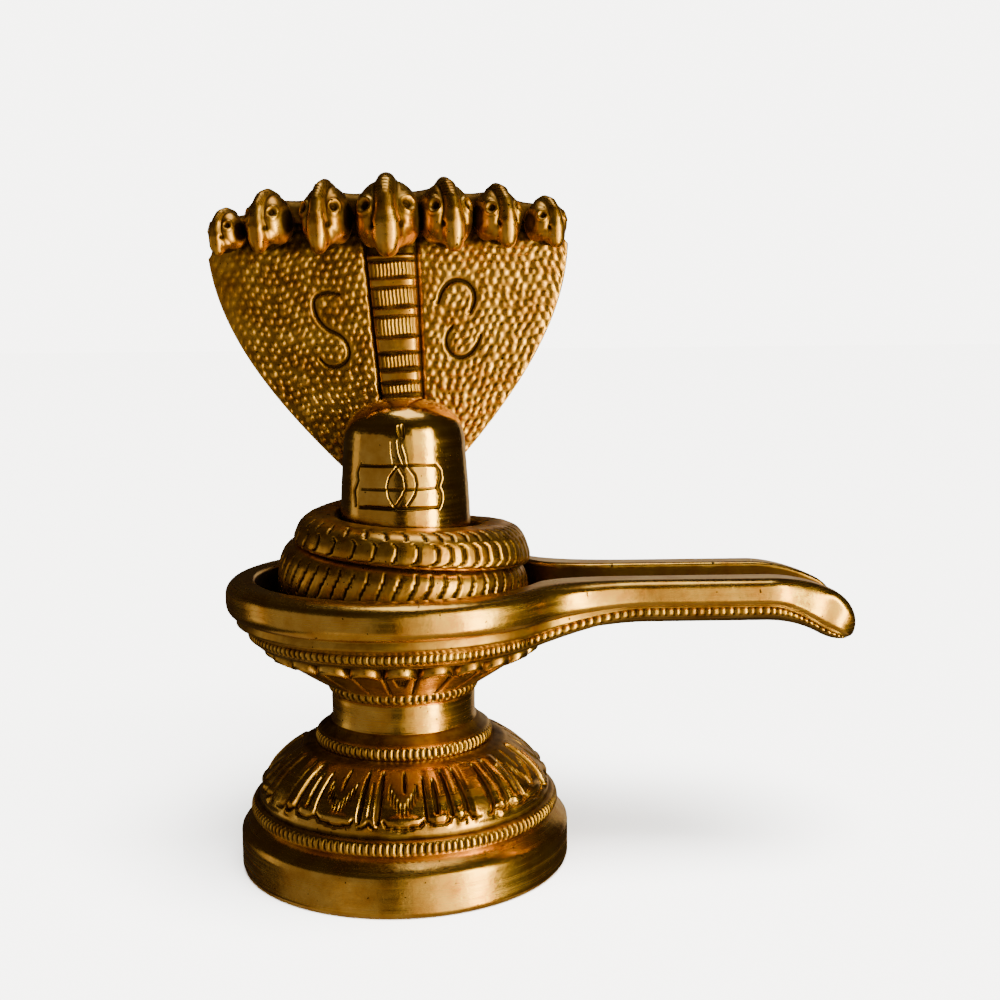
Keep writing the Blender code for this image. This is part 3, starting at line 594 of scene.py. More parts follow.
def pillar_radius(height):
    share = (height - PILLAR_BASE) / (PILLAR_SHOULDER - PILLAR_BASE)
    return PILLAR_RADIUS - PILLAR_TAPER * np.clip(share, 0.0, 1.0) ** 2


# The pillar is plain below this height, where the coil hides it, and on top of its dome
PILLAR_PLAIN_BELOW = 58.0
PILLAR_PLAIN_WITHIN = 8.0


def make_pillar(material):
    rows = [
        (0.0, PILLAR_BASE),
        (PILLAR_RADIUS - 0.4, PILLAR_BASE, 0.2),
        (PILLAR_RADIUS, PILLAR_BASE + 0.4, 0.2),
    ]
    for share in np.linspace(0.1, 1.0, 10):
        height = PILLAR_BASE + share * (PILLAR_SHOULDER - PILLAR_BASE)
        rows.append((pillar_radius(height), height))
    for turn in np.radians(np.linspace(4.0, 90.0, 28)):
        across = pillar_radius(PILLAR_SHOULDER) * max(0.0, math.cos(turn)) ** DOME_POWER
        rows.append((across, PILLAR_SHOULDER + PILLAR_DOME * math.sin(turn) ** DOME_POWER))
    outline = along_outline(rows, 0.17, lambda across, height: (
        (height < PILLAR_PLAIN_BELOW) | (across < PILLAR_PLAIN_WITHIN)))
    # Points lie closer together on the engraved front than at the back
    fine = np.linspace(-1.0, 1.0, 281)[:, None]
    angle = FRONT + math.pi * (0.42 * fine + 0.58 * fine ** 5)
    angle, radius, height = np.moveaxis(spread(angle, outline[:, 0], outline[:, 1]), -1, 0)
    turn = angle - FRONT - math.radians(3.2)
    across = np.where(np.abs(turn) < 1.3, 11.1 * np.sin(turn), 99.0)
    cut = stroke_depth(across, height, pillar_strokes()) * (height < PILLAR_SHOULDER + 5.0)
    dents = 0.03 * waver(angle * 3.0, 2.0) + 0.02 * waver(height * 0.35, 4.0)
    size = radius - (cut + dents * (radius > 3.0))
    places = spread(PILLAR_OFFSET + size * np.cos(angle), size * np.sin(angle), height)
    places[-1] = places[0]
    # The engraving holds patina, and below the coil's top the pillar gets painted shade where the coil
    # hides it.
    patina_and_shade = deepest(cut / 0.3, 0.8 * (1.0 - ease(height, 53.0, 57.0)))
    add_piece("engraved_pillar", "lingam", material, places, patina_and_shade)


# Cobra's coil

# The body from the neck down to the tail: degrees run round, height of its middle and
# half its height. The upper turn is flatter, and it sinks as it comes round the front
COIL_LEVELS = (
    (80, 59.4, 3.2), (140, 58.2, 2.4), (180, 57.4, 2.3), (225, 56.7, 2.5), (270, 55.9, 2.8),
    (315, 54.9, 3.3), (360, 53.9, 3.7), (450, 52.2, 4.4), (540, 50.4, 4.9), (585, 49.4, 4.9),
    (630, 48.5, 4.8), (680, 47.6, 4.3), (720, 47.4, 4), (780, 46.7, 3.2), (860, 44.8, 1.2),
)


def coil_shape(degrees):
    turn = np.radians(degrees)
    share = ease(degrees, 150.0, 330.0)
    radius = COIL_TOP_RADIUS + (COIL_RADIUS - COIL_TOP_RADIUS) * share
    neck = ease(degrees, 120.0, 360.0)
    tail = ease(degrees, 720.0, 860.0)
    full = BODY_NECK_RADIUS + (BODY_RADIUS - BODY_NECK_RADIUS) * neck
    thick = full + (TAIL_RADIUS - full) * tail
    levels = np.array(COIL_LEVELS)
    nearby = degrees[:, None] + np.linspace(-25.0, 25.0, 11)[None, :]
    height, half = (np.interp(nearby, levels[:, 0], levels[:, c]).mean(axis=1) for c in (1, 2))
    height = np.maximum(height, BASIN_FLOOR + half + 0.1)
    middle = spread(COIL_OFFSET[0] + radius * np.cos(turn), COIL_OFFSET[1] + radius * np.sin(turn), height)
    return middle, thick, half


def coil_strokes(length_at):
    """Crescent cuts along the body: two staggered rows on the upper turn, one long
    row on the lower turn. Places are (run along, run round) in millimetres."""
    start, wide, close, widen, lower, end = (length_at(d) for d in (95, 250, 300, 400, 470, 790))
    strokes = []
    place = start
    number = 0
    while place < lower:
        tight = ease(place, wide, close) * (1.0 - ease(place, widen, lower))
        gap = 3.0 - 1.2 * tight + 0.4 * (scatter(number, 0.0, 7.0) - 0.5)
        lean = 0.5 * (scatter(number, 1.0, 7.0) - 0.5)
        body = [(place - 0.2, 1.0), (place + 0.35, 0.2), (place + 0.2, -1.2), (place - 0.5 + lean, -2.6)]
        strokes.append((body, 0.50, 0.42))
        upper = place + 0.5 * gap
        strokes.append(([(upper - 0.8, 4.4), (upper - 0.1, 3.2), (upper + 0.1, 1.6)], 0.45, 0.40))
        place += gap
        number += 1
    place = lower
    while place < end:
        lean = 0.5 * (scatter(number, 1.0, 9.0) - 0.5)
        body = [(place + 0.5, 3.2), (place + 0.55, 2.0), (place + 0.1, 0.6), (place - 1.0 + lean, -0.8)]
        strokes.append((body, 0.40, 0.40))
        place += 2.0 + 0.3 * (scatter(number, 0.0, 9.0) - 0.5)
        number += 1
    return strokes


def make_coil(material):
    # Places lie closer together on the carved front than at the back
    even = np.linspace(80.0, 860.0, 1561)
    closeness = 1.0 - 0.55 * ease(np.sin(np.radians(even)), 0.1, 0.6)
    passed = np.concatenate([[0.0], np.cumsum(closeness[1:])])
    degrees = np.interp(np.linspace(0.0, passed[-1], 641), passed, even)
    middle, thick, half = coil_shape(degrees)
    run = run_along(middle)
    tangent = np.gradient(middle, axis=0)
    tangent /= np.linalg.norm(tangent, axis=1)[:, None]
    turn = np.radians(degrees)
    outward = spread(np.cos(turn), np.sin(turn), 0.0)
    outward = outward - (outward * tangent).sum(axis=1)[:, None] * tangent
    outward /= np.linalg.norm(outward, axis=1)[:, None]
    upward = np.cross(outward, tangent)
    upward *= np.sign(upward[:, 2:3])
    fine = np.linspace(-1.0, 1.0, 91)
    round_angle = math.pi * (0.50 * fine + 0.50 * fine ** 3) + math.radians(12.0)
    across, tall = (np.sign(side) * np.abs(side) ** BODY_POWER
                    for side in (np.cos(round_angle), np.sin(round_angle)))
    thick, half = thick[:, None], half[:, None]
    is_cut = thick > 2.0
    # The face of the body slopes outward as it goes down
    slope = 0.30 - 0.18 * ease(degrees, 400.0, 560.0)[:, None]
    wrap = round_angle * thick
    along = np.broadcast_to(run[:, None], wrap.shape)
    cut = stroke_depth(along, wrap, coil_strokes(lambda d: float(np.interp(d, degrees, run))))
    # The cuts run out toward the hidden back and stop short of the tail
    cut = cut * is_cut * (1.0 - ease(np.sin(turn), 0.35, 0.60))[:, None]
    size = thick - cut - 0.05 * waver(along * 0.6, 3.0)
    out = size * (across - slope * tall)
    up = size * (half / thick) * tall
    places = middle[:, None] + outward[:, None] * out[:, :, None] + upward[:, None] * up[:, :, None]
    places[:, -1] = places[:, 0]
    # The crescent cuts hold patina. The crease under the body, where it rests on the turn below or on the
    # basin floor, and its inner side toward the pillar are painted shade.
    patina_and_shade = deepest(
        np.clip(cut / 0.22, 0.0, 1.0),
        0.85 * mound(round_angle + 1.25, 0.24) * is_cut,
        0.8 * ease(np.abs(round_angle), 1.75, 2.2))
    neck_end, tail_end = (np.broadcast_to(middle[end], places[:1].shape) for end in (0, -1))
    places = np.concatenate([neck_end, places, tail_end])
    patina_and_shade = np.concatenate([patina_and_shade[:1], patina_and_shade, patina_and_shade[-1:]])
    add_piece("cobra_coil", "cobra", material, places, patina_and_shade)


# Cobra's hood: made from its base up, then leaned and set on the coil

def hood_half(height):
    share = height / HOOD_WIDEST
    full = 0.09 + 0.91 * np.clip(share, 0.0, 1.0)
    past = np.maximum(height - HOOD_WIDEST, 0.0)
    return HOOD_HALF * np.sin(0.5 * math.pi * full) - 0.035 * past ** 2


def hood_depth(across, height):
    rise = height / HOOD_HEIGHT
    edge = across / HOOD_HALF
    return HOOD_BACK - HOOD_THICKNESS - 2.6 * rise ** 2 - 1.3 * edge ** 2


def set_hood(places):
    """Lean the hood's points and set them behind the pillar."""
    lean = math.radians(-HOOD_LEAN_DEG)
    x = places[..., 0] * math.cos(lean) + places[..., 2] * math.sin(lean)
    z = places[..., 2] * math.cos(lean) - places[..., 0] * math.sin(lean)
    return spread(x + PILLAR_OFFSET + HOOD_SHIFT, places[..., 1], z + HOOD_BASE)


def hood_marks():
    """The spectacle marks: a double curl on the left, two hooks on the right."""
    left = [(-9, 36.7), (-11.2, 37.3), (-13.5, 36.5), (-13.8, 34.6), (-13.1, 32.4), (-11.5, 30.6),
            (-9.6, 29.8), (-8.3, 28.4), (-7.8, 26.4), (-8.6, 24.8), (-10.4, 23.9), (-12.2, 24.4),
            (-13.2, 25.6)]
    upper = [(8.2, 34.4), (8.9, 36.6), (10.5, 38.2), (12.6, 38.4), (14.4, 36.9), (14.8, 34.8), (13.8, 32.6)]
    lower = [(10.6, 30.4), (9.3, 28.8), (9.2, 26.6), (10.6, 24.8), (12.8, 24.8), (14.6, 26.6), (15.5, 28.6)]
    return [
        (rounded(left), 0.95, 0.42),
        (rounded(upper), 1.10, 0.46),
        (rounded(lower), 0.90, 0.40),
    ]


# How far the raised dots of the hood stand out
DOT_HEIGHT = 0.25


def pebbles(x, z):
    """Height of the low ring-punched bosses over the hood, in rows that wander."""
    pitch_x, pitch_z = 1.52, 1.34
    best = np.full(x.shape, 9.0)
    x_bend = x + 0.35 * np.sin(z * 0.33 + 0.5) + 0.2 * np.sin(z * 0.9 + x * 0.3)
    z_row = z / pitch_z + 0.45 * np.sin(x * 0.21) + 0.25 * np.sin(x * 0.6 + 1.0)
    for row_step in (-1, 0, 1):
        row = np.round(z_row) + row_step
        column_base = x_bend / pitch_x - 0.5 * (row % 2)
        for column_step in (-1, 0, 1):
            column = np.round(column_base) + column_step
            jog_x = 0.42 * (scatter(row, column, 1.0) - 0.5)
            jog_z = 0.42 * (scatter(row, column, 2.0) - 0.5)
            away_x = (column_base - column - jog_x) * pitch_x
            away_z = (z_row - row - jog_z) * pitch_z
            size = 0.63 + 0.003 * x + 0.26 * (scatter(row, column, 3.0) - 0.5)
            best = np.minimum(best, np.hypot(away_x, away_z) / size)
    return np.clip(1.0 - best ** 2.6, 0.0, 1.0) ** 0.8


def belly_middle(height):
    """Where the scuted strip's middle lies: it wanders a little off the hood's."""
    return 0.45 + 0.022 * (44.0 - height)


def belly_half(height):
    return 3.2 + 1.1 * (height - 6.0) / 38.5


def make_hood(material):
    across = np.linspace(-1.0, 1.0, 223)[:, None]
    up = np.linspace(0.0, 1.0, 196)
    height = up * (HOOD_HEIGHT - 4.6 * across ** 2 - 3.0 * ease(np.abs(across), 0.9, 1.0) ** 2)
    width = across * hood_half(height)
    depth = hood_depth(width, height)
    # The face swells a little toward its middle, so the rim is thinner than the neck
    face = depth + 2.3 * (width / HOOD_HALF) ** 2
    off_strip = np.abs(width - belly_middle(height)) - belly_half(height)
    field = ease((1.0 - np.abs(across)) * hood_half(height), 0.05, 0.4) * ease(off_strip, 0.5, 1.0)
    worn = ease(-width, 23.0, 29.0) * 0.55
    marks = hood_marks()
    cut = stroke_depth(width, height, marks)
    beside = stroke_depth(width, height, [(points, 2.1 * wide, 1.0) for points, wide, _ in marks])
    dots = pebbles(width, height) * field * (1.0 - worn) * (1.0 - ease(beside, 0.0, 0.5))
    edge_groove = mound(off_strip - 0.1, 0.42) * ease(height, 3.0, 6.0)
    face = face - DOT_HEIGHT * dots - 0.10 * ease(beside, 0.1, 0.7) + 1.2 * cut + 0.7 * edge_groove
    front = spread(width, face, height)
    # The back is plain, with the neck as a ridge up its middle
    ridge = 3.6 * (1.0 - 0.4 * np.clip((height + 2.0) / (HOOD_WIDEST + 2.0), 0.0, 1.0))
    spine = depth + 1.8 + np.sqrt(np.clip(ridge ** 2 - width ** 2, 0.0, None))
    back_depth = np.maximum(depth + HOOD_THICKNESS, np.where(height < HOOD_WIDEST, spine, 0.0))
    back = spread(width * 0.995, back_depth, height)
    # Patina lies between the raised dots and fades toward the right, where the lighter half is a painted
    # sheen.
    between = 0.55 * (1.0 - dots) ** 1.5 * field * (1.0 - 0.55 * ease(width, 2.0, 14.0))
    # The marks and the grooves beside the strip hold patina, and the band along the hood's top, under the
    # heads, is painted shade.
    shade = (1.0 - 0.45 * worn) * deepest(
        between * (1.0 - 0.6 * ease(beside, 0.1, 0.7)),
        np.clip(cut / 0.4, 0.0, 1.0),
        0.95 * edge_groove,
        0.85 * ease(height, HOOD_HEIGHT - 9.0, HOOD_HEIGHT - 5.5))
    # The loop of each column runs up the front and down the back, where every fifth
    # place is kept, and closes along the rim's middle at both sides
    middle = 0.5 * (front + back)
    rim = np.concatenate([middle, middle[:, ::-5], middle[:, :1]], axis=1)
    back = back[:, ::-5]
    loop = np.concatenate([front, back, front[:, :1]], axis=1)
    shade = np.concatenate([shade, np.full(back.shape[:2], 0.25), shade[:, :1]], axis=1)
    loop = np.concatenate([rim[:1], loop, rim[-1:]])
    shade = np.concatenate([shade[:1], shade, shade[-1:]])
    add_piece("cobra_hood", "cobra", material, set_hood(loop), shade)


# Heights of the strip's ends, its fluted bands and its smooth bars
BELLY_LOW = 66.0
BELLY_HIGH = 104.5
FLUTE_PITCH = 0.66
BELLY_BANDS = ((99.3, 101.9), (94.3, 97.3), (89.1, 92.3), (83.5, 85.8), (78.9, 80.6), (73.8, 76))
BELLY_BARS = ((102.3, 103.2), (97.5, 99.1), (92.5, 94), (86.2, 88.8), (81, 82.9), (76.8, 78.3),
              (71.9, 73.2))


def make_belly(material):
    """The scuted strip: fluted bands and smooth bars between cut lines."""
    across = np.linspace(-1.0, 1.0, 85)[:, None]
    level = np.linspace(BELLY_LOW, BELLY_HIGH, 261)
    height = level - HOOD_BASE
    width = across * belly_half(height)
    proud = 1.5 * np.sqrt(np.clip(1.0 - np.abs(across) ** 4, 0.0, 1.0))
    lift = np.zeros(width.shape)
    patina_and_shade = np.full(width.shape, 0.7)
    for low, high in BELLY_BANDS:
        low, high = low + 0.12 * np.sin(width * 0.8), high + 0.12 * np.sin(width * 0.8)
        inside = ease(level, low - 0.15, low + 0.25) * (1.0 - ease(level, high - 0.25, high + 0.15))
        flute = 0.5 + 0.5 * np.cos(width * math.tau / FLUTE_PITCH + 0.6 * waver(level, 3.0))
        lift = np.maximum(lift, inside * (0.52 + 0.17 * flute))
        patina_and_shade = np.minimum(patina_and_shade, 0.7 - inside * (0.22 + 0.30 * flute))
    for low, high in BELLY_BARS:
        inside = ease(level, low - 0.1, low + 0.35) * (1.0 - ease(level, high - 0.35, high + 0.1))
        lift = np.maximum(lift, inside * 0.62)
        patina_and_shade = np.minimum(patina_and_shade, 0.7 - 0.6 * inside)
    depth = hood_depth(width, height) - proud - lift * (1.0 - 0.5 * np.abs(across) ** 3) + 0.5
    front = spread(width + belly_middle(height), depth, height)
    sunk = front.copy()
    sunk[:, :, 1] = hood_depth(width, height) + 1.5
    places = np.concatenate([sunk[:1], front, sunk[-1:]])
    bottom, top = places[:, :1].copy(), places[:, -1:].copy()
    bottom[:, :, 1] = hood_depth(0.0, height[0]) + 1.5
    top[:, :, 1] = hood_depth(0.0, height[-1]) + 1.5
    places = np.concatenate([bottom, places, top], axis=1)
    patina_and_shade = np.pad(patina_and_shade, 1, mode="edge")
    add_piece("cobra_belly_scutes", "cobra", material, set_hood(places), patina_and_shade)


# The seven heads from left to right: place across the hood, turn to the side, height of
# the crown, size and width
HEADS = (
    (-27.4, -32, 52.3, 0.58, 0.92),
    (-20, -25, 55.1, 0.77, 0.88),
    (-10.1, -15, 56.3, 0.90, 0.82),
    (0.5, 0, 56.9, 1.02, 0.97),
    (10.4, 19, 55.8, 0.91, 0.87),
    (19.3, 26, 54.4, 0.79, 0.88),
    (27.6, 32, 52, 0.64, 0.96),
)

# Parts of one head's skull at full size, looking at its face: centre and half sizes
SKULL_PARTS = (
    ((0, 0.6, 0.2), (5.7, 5.4, 5.95)),
    ((-2.8, 0.2, -0.3), (2.9, 4.9, 4.9)),
    ((2.8, 0.2, -0.3), (2.9, 4.9, 4.9)),
    ((0, -1.2, -2.4), (4.5, 4.5, 3.9)),
)
# The strip from behind the crown down to the nose: place and half sizes
STRIP_RUN = (
    (0, 2.8, 4.7, 1.75, 2, 2),
    (0, 0.4, 5.3, 1.85, 2.1, 1.95),
    (0, -2, 4.5, 1.85, 2.1, 2),
    (0, -3.7, 2.5, 1.8, 2, 2.2),
    (0, -4.6, 0.2, 1.95, 1.9, 2.2),
    (0, -5, -2, 2.5, 1.9, 2),
    (0, -4.9, -3.9, 2.4, 1.9, 2.2),
    (0, -4.5, -5.1, 2.05, 1.9, 2.1),
)
# How far the middle of a full-size head stands in front of the hood's back
HEAD_FORWARD = 5.67
HEAD_EYE = (0.66, -0.66, 0.27)
HEAD_NOSTRIL = (0.42, -0.85, -0.33)
# Radii of the raised ring round an eye and of the pits
EYE_RING = 1.4
EYE_PIT = 0.9
NOSTRIL_PIT = 0.45


def part_distance(place, centre, half):
    """Rough distance from an egg shape, negative inside."""
    away = (place - np.array(centre)) / np.array(half)
    size = np.linalg.norm(away, axis=-1)
    return (size - 1.0) * min(half)


def head_distance(place):
    """Distance from the head, and how far its skull and strip lie from each other."""
    skull = np.min([part_distance(place, c, h) for c, h in SKULL_PARTS], axis=0)
    run = np.array(STRIP_RUN)
    marks = np.linspace(0.0, len(run) - 1.0, 36)
    run = np.stack([np.interp(marks, np.arange(len(run)), run[:, c]) for c in range(6)], axis=1)
    strip = np.min([part_distance(place, row[:3], row[3:]) for row in run], axis=0)
    blend = 0.6
    mix = np.clip(0.5 + 0.5 * (strip - skull) / blend, 0.0, 1.0)
    joined = strip + (skull - strip) * mix - blend * mix * (1.0 - mix)
    return joined, skull - strip


def head_surface(direction):
    """One head at full size, found along each direction from its middle: the skull,
    the proud strip down to the snout, ringed eyes and nostrils, with painted shade
    under the head, behind it and on its far sides."""
    low = np.full(direction.shape[:-1], 1.0)
    high = np.full(direction.shape[:-1], 11.0)
    for _ in range(26):
        middle = 0.5 * (low + high)
        inside = head_distance(direction * middle[..., None])[0] < 0.0
        low = np.where(inside, middle, low)
        high = np.where(inside, high, middle)
    reach = 0.5 * (low + high)
    place = direction * reach[..., None]
    apart = head_distance(place)[1]
    on_strip = ease(apart, -0.1, 0.5)
    x, y, z = np.moveaxis(place, -1, 0)
    # Painted shade under the head, behind it toward the hood and on its far sides
    patina_and_shade = deepest(
        0.7 * mound(apart + 0.15, 0.40) * ease(z, -4.5, -2.0),
        0.9 * ease(-z, 4.6, 5.6) * ease(y, -3.6, -2.4),
        0.75 * ease(y, 2.0, 4.0),
        0.8 * ease(np.abs(x), 4.6, 5.6))
    lift = -0.15 * mound(apart + 0.1, 0.30)
    for number in range(6):
        level = 3.4 + 0.56 * number
        line_cut = mound(z - level - 0.25 * y * (y > 0), 0.11) * on_strip * (y < 2.0)
        lift -= 0.20 * line_cut
        patina_and_shade = np.maximum(patina_and_shade, 0.8 * line_cut)
    for side in (-1.0, 1.0):
        eye, nostril = (
            5.6 * np.linalg.norm(direction - spot / np.linalg.norm(spot), axis=-1)
            for spot in (np.array(HEAD_EYE) * (side, 1.0, 1.0), np.array(HEAD_NOSTRIL) * (side, 1.0, 1.0)))
        lift += 0.26 * mound(eye - EYE_RING, 0.28) - 0.95 * mound(eye, EYE_PIT, 4)
        lift += 0.35 * mound(eye, 0.35) - 0.8 * mound(nostril, NOSTRIL_PIT)
        patina_and_shade = deepest(
            patina_and_shade,
            0.5 * mound(eye - EYE_RING - 0.6, 0.3),
            mound(eye, EYE_PIT + 0.12, 4),
            mound(nostril, NOSTRIL_PIT + 0.12, 4))
    return place + direction * lift[..., None], patina_and_shade


# Half the length of the roll, and the distance from neck to neck along it
ROLL_HALF = 28.9
NECK_PITCH = 9.4


def make_neck_roll(material):
    """The seven necks run together as one rounded roll along the hood's top, behind
    the heads."""
    across = np.linspace(-ROLL_HALF, ROLL_HALF, 201)[:, None]
    share = across / ROLL_HALF
    height = 52.3 - 3.6 * share ** 2 + 0.35 * np.cos(across * math.tau / NECK_PITCH)
    thick = 2.1 * np.sqrt(np.clip(1.0 - np.abs(share) ** 6, 0.0, 1.0)) + 0.001
    depth = hood_depth(across, HOOD_HEIGHT) + 1.5
    turn = np.linspace(0.0, math.tau, 25)
    places = spread(across, depth + 1.15 * thick * np.cos(turn), height + thick * np.sin(turn))
    places[:, -1] = places[:, 0]
    # The whole roll is evenly darker, as painted shade behind the heads
    patina_and_shade = np.full(places.shape[:2], 0.6)
    add_piece("cobra_neck_roll", "cobra", material, set_hood(places), patina_and_shade)


def make_heads(material):
    longitude = np.linspace(-math.pi, math.pi, 109)[:, None]
    latitude = np.linspace(-0.5 * math.pi, 0.5 * math.pi, 65)
    # Poles lie across the head, where neither the strip nor the snout is
    direction = spread(
        np.sin(latitude), np.cos(latitude) * np.cos(longitude), np.cos(latitude) * np.sin(longitude))
    direction[:, 0] = direction[:1, 0]
    direction[:, -1] = direction[:1, -1]
    direction[-1] = direction[0]
    shape, patina_and_shade = head_surface(direction)
    shape[:, 0] = shape[:1, 0]
    shape[:, -1] = shape[:1, -1]
    for number, (across, turn, crown, size, width) in enumerate(HEADS, start=1):
        spin = np.array(Matrix.Rotation(math.radians(turn), 3, "Z"))
        places = (shape * (size * width, size, size)) @ spin.T
        depth = hood_depth(across, HOOD_HEIGHT) + HOOD_THICKNESS - HEAD_FORWARD * size
        places = places + (across, depth, crown - places[..., 2].max())
        # Below the hood's top a head is flat where it grows out of the hood
        grown = hood_depth(places[..., 0], places[..., 2]) + HOOD_THICKNESS - 0.5
        grown = np.where(places[..., 2] < HOOD_HEIGHT, grown, grown + 1.0)
        places[..., 1] = np.minimum(places[..., 1], grown)
        add_piece("cobra_head_%d" % number, "cobra", material, set_hood(places), patina_and_shade)


# Materials

def add_node(tree, kind, settings=None, links=None):
    """Add a shader node, set its properties and sockets, and link sockets into it. A
    node in links stands for its first output."""
    node = tree.nodes.new("ShaderNode" + kind)
    for key, value in (settings or {}).items():
        if isinstance(key, str) and hasattr(node, key) and key not in node.inputs:
            setattr(node, key, value)
        else:
            node.inputs[key].default_value = value
    for key, source in (links or {}).items():
        tree.links.new(source.outputs[0] if hasattr(source, "outputs") else source, node.inputs[key])
    return node


def cast_brass(name, bright, warm, patina_and_shade_colour, roughness, patina_and_shade_share, streak, streak_scale):
    """Sand-cast yellow brass, turned and buffed by hand: fine buff marks run round the
    turning, the high places are bright, and brown-black patina stays in the carving.
    The same dark colour also paints shade in creases, under parts and behind them."""
    material = bpy.data.materials.new(name)
    material.use_nodes = True
    tree = material.node_tree
    shader = tree.nodes["Principled BSDF"]
    shader.inputs["Metallic"].default_value = 1.0
    place = add_node(tree, "TexCoord").outputs["Object"]
    # The point attribute holds patina and painted shade
    patina_and_shade = add_node(tree, "Attribute", {"attribute_name": "patina_and_shade"}).outputs["Fac"]
    stretch = add_node(tree, "Mapping", {"Scale": streak_scale}, {"Vector": place})
    # Clouded tone, casting grain, buff marks and rare pits, by their scale and fineness
    cloud, grain, buff, pores = (
        add_node(tree, "TexNoise", {"Scale": scale, "Detail": detail, "Roughness": fineness},
                 {"Vector": vector})
        for scale, detail, fineness, vector in (
            (260.0, 4.0, 0.6, place), (1800.0, 3.0, 0.7, place), (1.0, 5.0, 0.65, stretch),
            (1300.0, 1.0, 0.5, place)))
    clouded = add_node(tree, "MapRange", {"From Min": 0.38, "From Max": 0.68}, {"Value": cloud})
    tone = add_node(tree, "Mix", {"data_type": "RGBA", 6: hex_colour(bright), 7: hex_colour(warm)},
                    {0: clouded})
    uneven = add_node(tree, "Math", {"operation": "MULTIPLY_ADD", 1: 0.5, 2: -0.22}, {0: cloud})
    # Patina and painted shade, clouded at random
    darkening = add_node(tree, "Math", {"operation": "ADD", "use_clamp": True}, {0: patina_and_shade, 1: uneven})
    pits = add_node(tree, "MapRange", {"From Min": 0.735, "From Max": 0.765}, {"Value": pores})
    darkening_and_pits = add_node(tree, "Math", {"operation": "MAXIMUM"}, {0: darkening, 1: pits})
    dark = add_node(tree, "MapRange", {"From Min": 0.10, "From Max": 0.75, "To Max": patina_and_shade_share},
                    {"Value": darkening_and_pits})
    skin = add_node(tree, "Mix", {"data_type": "RGBA", 7: hex_colour(patina_and_shade_colour)},
                    {0: dark, 6: tone.outputs[2]})
    buffed = {"From Min": 0.3, "From Max": 0.75, "To Min": roughness - 0.05, "To Max": roughness + 0.11}
    rough = add_node(tree, "MapRange", buffed, {"Value": buff})
    rougher = add_node(tree, "Math", {"operation": "MULTIPLY_ADD", 1: 0.28}, {0: dark, 2: rough})
    marks = add_node(tree, "Math", {"operation": "MULTIPLY_ADD", 1: 0.35}, {0: grain, 2: buff})
    relief = add_node(tree, "Bump", {"Strength": streak, "Distance": 0.00004}, {"Height": marks})
    swell = add_node(tree, "Bump", {"Strength": 0.2, "Distance": 0.0004},
                     {"Height": cloud, "Normal": relief})
    tree.links.new(skin.outputs[2], shader.inputs["Base Color"])
    tree.links.new(rougher.outputs[0], shader.inputs["Roughness"])
    tree.links.new(swell.outputs[0], shader.inputs["Normal"])
    return material


# Studio

def make_stage():
    """A wide pale floor. The polished brass mirrors the dim room and not the floor."""
    bpy.ops.mesh.primitive_plane_add(size=30.0, location=(0.0, 0.0, 0.0))
    floor = bpy.context.object
    floor.name = "pale_floor"
    floor.visible_glossy = False
    floor.visible_shadow = False
    material = bpy.data.materials.new("pale_matte_floor")
    material.use_nodes = True
    shader = material.node_tree.nodes["Principled BSDF"]
    shader.inputs["Base Color"].default_value = hex_colour("f0eeea")
    shader.inputs["Roughness"].default_value = 0.9
    floor.data.materials.append(material)


def put(name, data):
    """A new object in the scene with this data."""
    item = bpy.data.objects.new(name, data)
    bpy.context.scene.collection.objects.link(item)
    return item


def area_light(name, place, target, width, height, power, colour):
    data = bpy.data.lights.new(name, "AREA")
    data.shape = "RECTANGLE"
    data.size = width
    data.size_y = height
    data.energy = power
    data.color = hex_colour(colour)[:3]
    lamp = put(name, data)
    lamp.location = place
    lamp.visible_diffuse = False
    lamp.rotation_euler = (Vector(target) - Vector(place)).to_track_quat("-Z", "Y").to_euler()


def window_light(name, turn_deg, wide_deg, low, high, distance, glow, colour):
    """An upright soft light. It stands turned from the front toward the spout; its
    power follows from how bright its face should look."""
    turn = math.radians(turn_deg)
    width = 2.0 * distance * math.tan(math.radians(0.5 * wide_deg))
    middle = 0.5 * (low + high)
    place = (distance * math.sin(turn), -distance * math.cos(turn), middle)
    power = glow * math.pi * width * (high - low)
    area_light(name, place, (0.0, 0.0, middle), width, high - low, power, colour)


# Soft lights round the object, as window_light takes them
WINDOWS = (
    ("bright_window", 51.5, 13, -0.26, 0.36, 0.5, 21, "ffea90"),
    ("window_haze", 33, 24, -0.36, 0.40, 0.5, 2.4, "ffe49c"),
    ("front_wall", 12.5, 18, -0.46, 0.36, 0.7, 0.80, "ffe4ac"),
    ("left_wall", -52, 76, -0.36, 0.30, 0.6, 0.24, "ffe9c8"),
    ("back_left", -99, 16, -0.16, 0.22, 0.6, 0.7, "ffe8b8"),
    ("back_right", 160, 34, -0.20, 0.30, 0.7, 0.5, "ffeccf"),
)


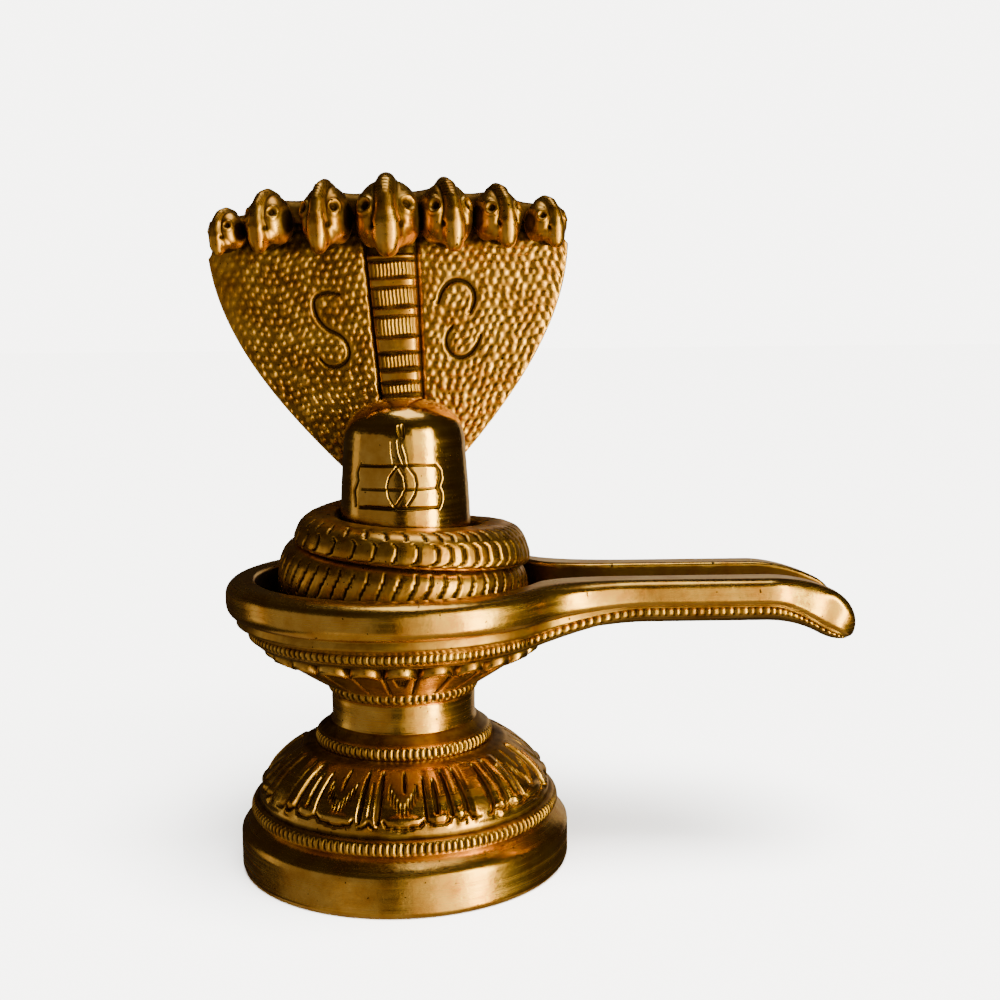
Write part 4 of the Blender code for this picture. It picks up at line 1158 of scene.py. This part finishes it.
def make_lights():
    for window in WINDOWS:
        window_light(*window)
    area_light("table_glow", (0.0, -0.1, -0.4), (0.0, 0.0, 0.06), 1.0, 1.0, 1.0, "ffdfae")
    area_light("overhead", (0.05, 0.05, 0.7), (0.0, 0.0, 0.06), 0.36, 0.30, 1.3, "fff6e0")
    sun_data = bpy.data.lights.new("daylight", "SUN")
    sun_data.energy = 25.5
    sun_data.angle = math.radians(50.0)
    sun = put("daylight", sun_data)
    sun.rotation_euler = (math.radians(18.0), math.radians(12.0), 0.0)
    sun.visible_glossy = False
    world = bpy.data.worlds.new("studio")
    bpy.context.scene.world = world
    world.use_nodes = True
    tree = world.node_tree
    tree.nodes.clear()
    # The brass mirrors a dim brown room, and the camera sees a pale one
    room = add_node(tree, "Background", {"Color": hex_colour("a08668"), "Strength": 0.07})
    pale = add_node(tree, "Background", {"Color": hex_colour("f4f2ee"), "Strength": 7.0})
    seen = add_node(tree, "LightPath").outputs["Is Camera Ray"]
    mix = add_node(tree, "MixShader", links={0: seen, 1: room, 2: pale})
    add_node(tree, "OutputWorld", links={"Surface": mix})


def make_camera():
    data = bpy.data.cameras.new("camera")
    data.lens = CAMERA_LENS
    data.sensor_width = 36.0
    data.clip_start = 0.01
    camera = put("camera", data)
    camera.matrix_world = Matrix.Translation(Vector(CAMERA_PLACE) * MM)
    for degrees, axis in ((-CAMERA_YAW, "Z"), (90.0 + CAMERA_PITCH, "X"), (CAMERA_ROLL, "Z")):
        camera.matrix_world @= Matrix.Rotation(math.radians(degrees), 4, axis)
    bpy.context.scene.camera = camera


def main():
    make_camera()
    pedestal_brass = cast_brass("buffed_yellow_brass_pedestal", "e4b95e", "cb9340", "2a1506",
                                0.23, 0.92, 0.07, (40.0, 40.0, 1500.0))
    pillar_brass = cast_brass("buffed_yellow_brass_pillar", "e6bd62", "cf9a46", "241104",
                              0.14, 0.9, 0.12, (50.0, 50.0, 1600.0))
    cobra_brass = cast_brass("chased_yellow_brass_cobra", "e2b358", "c68b38", "1e0e03",
                             0.29, 0.95, 0.3, (400.0, 400.0, 900.0))
    make_foot(pedestal_brass)
    make_yoni(pedestal_brass)
    make_pillar(pillar_brass)
    make_coil(cobra_brass)
    make_hood(cobra_brass)
    make_belly(cobra_brass)
    make_neck_roll(cobra_brass)
    make_heads(cobra_brass)
    make_stage()
    make_lights()


main()
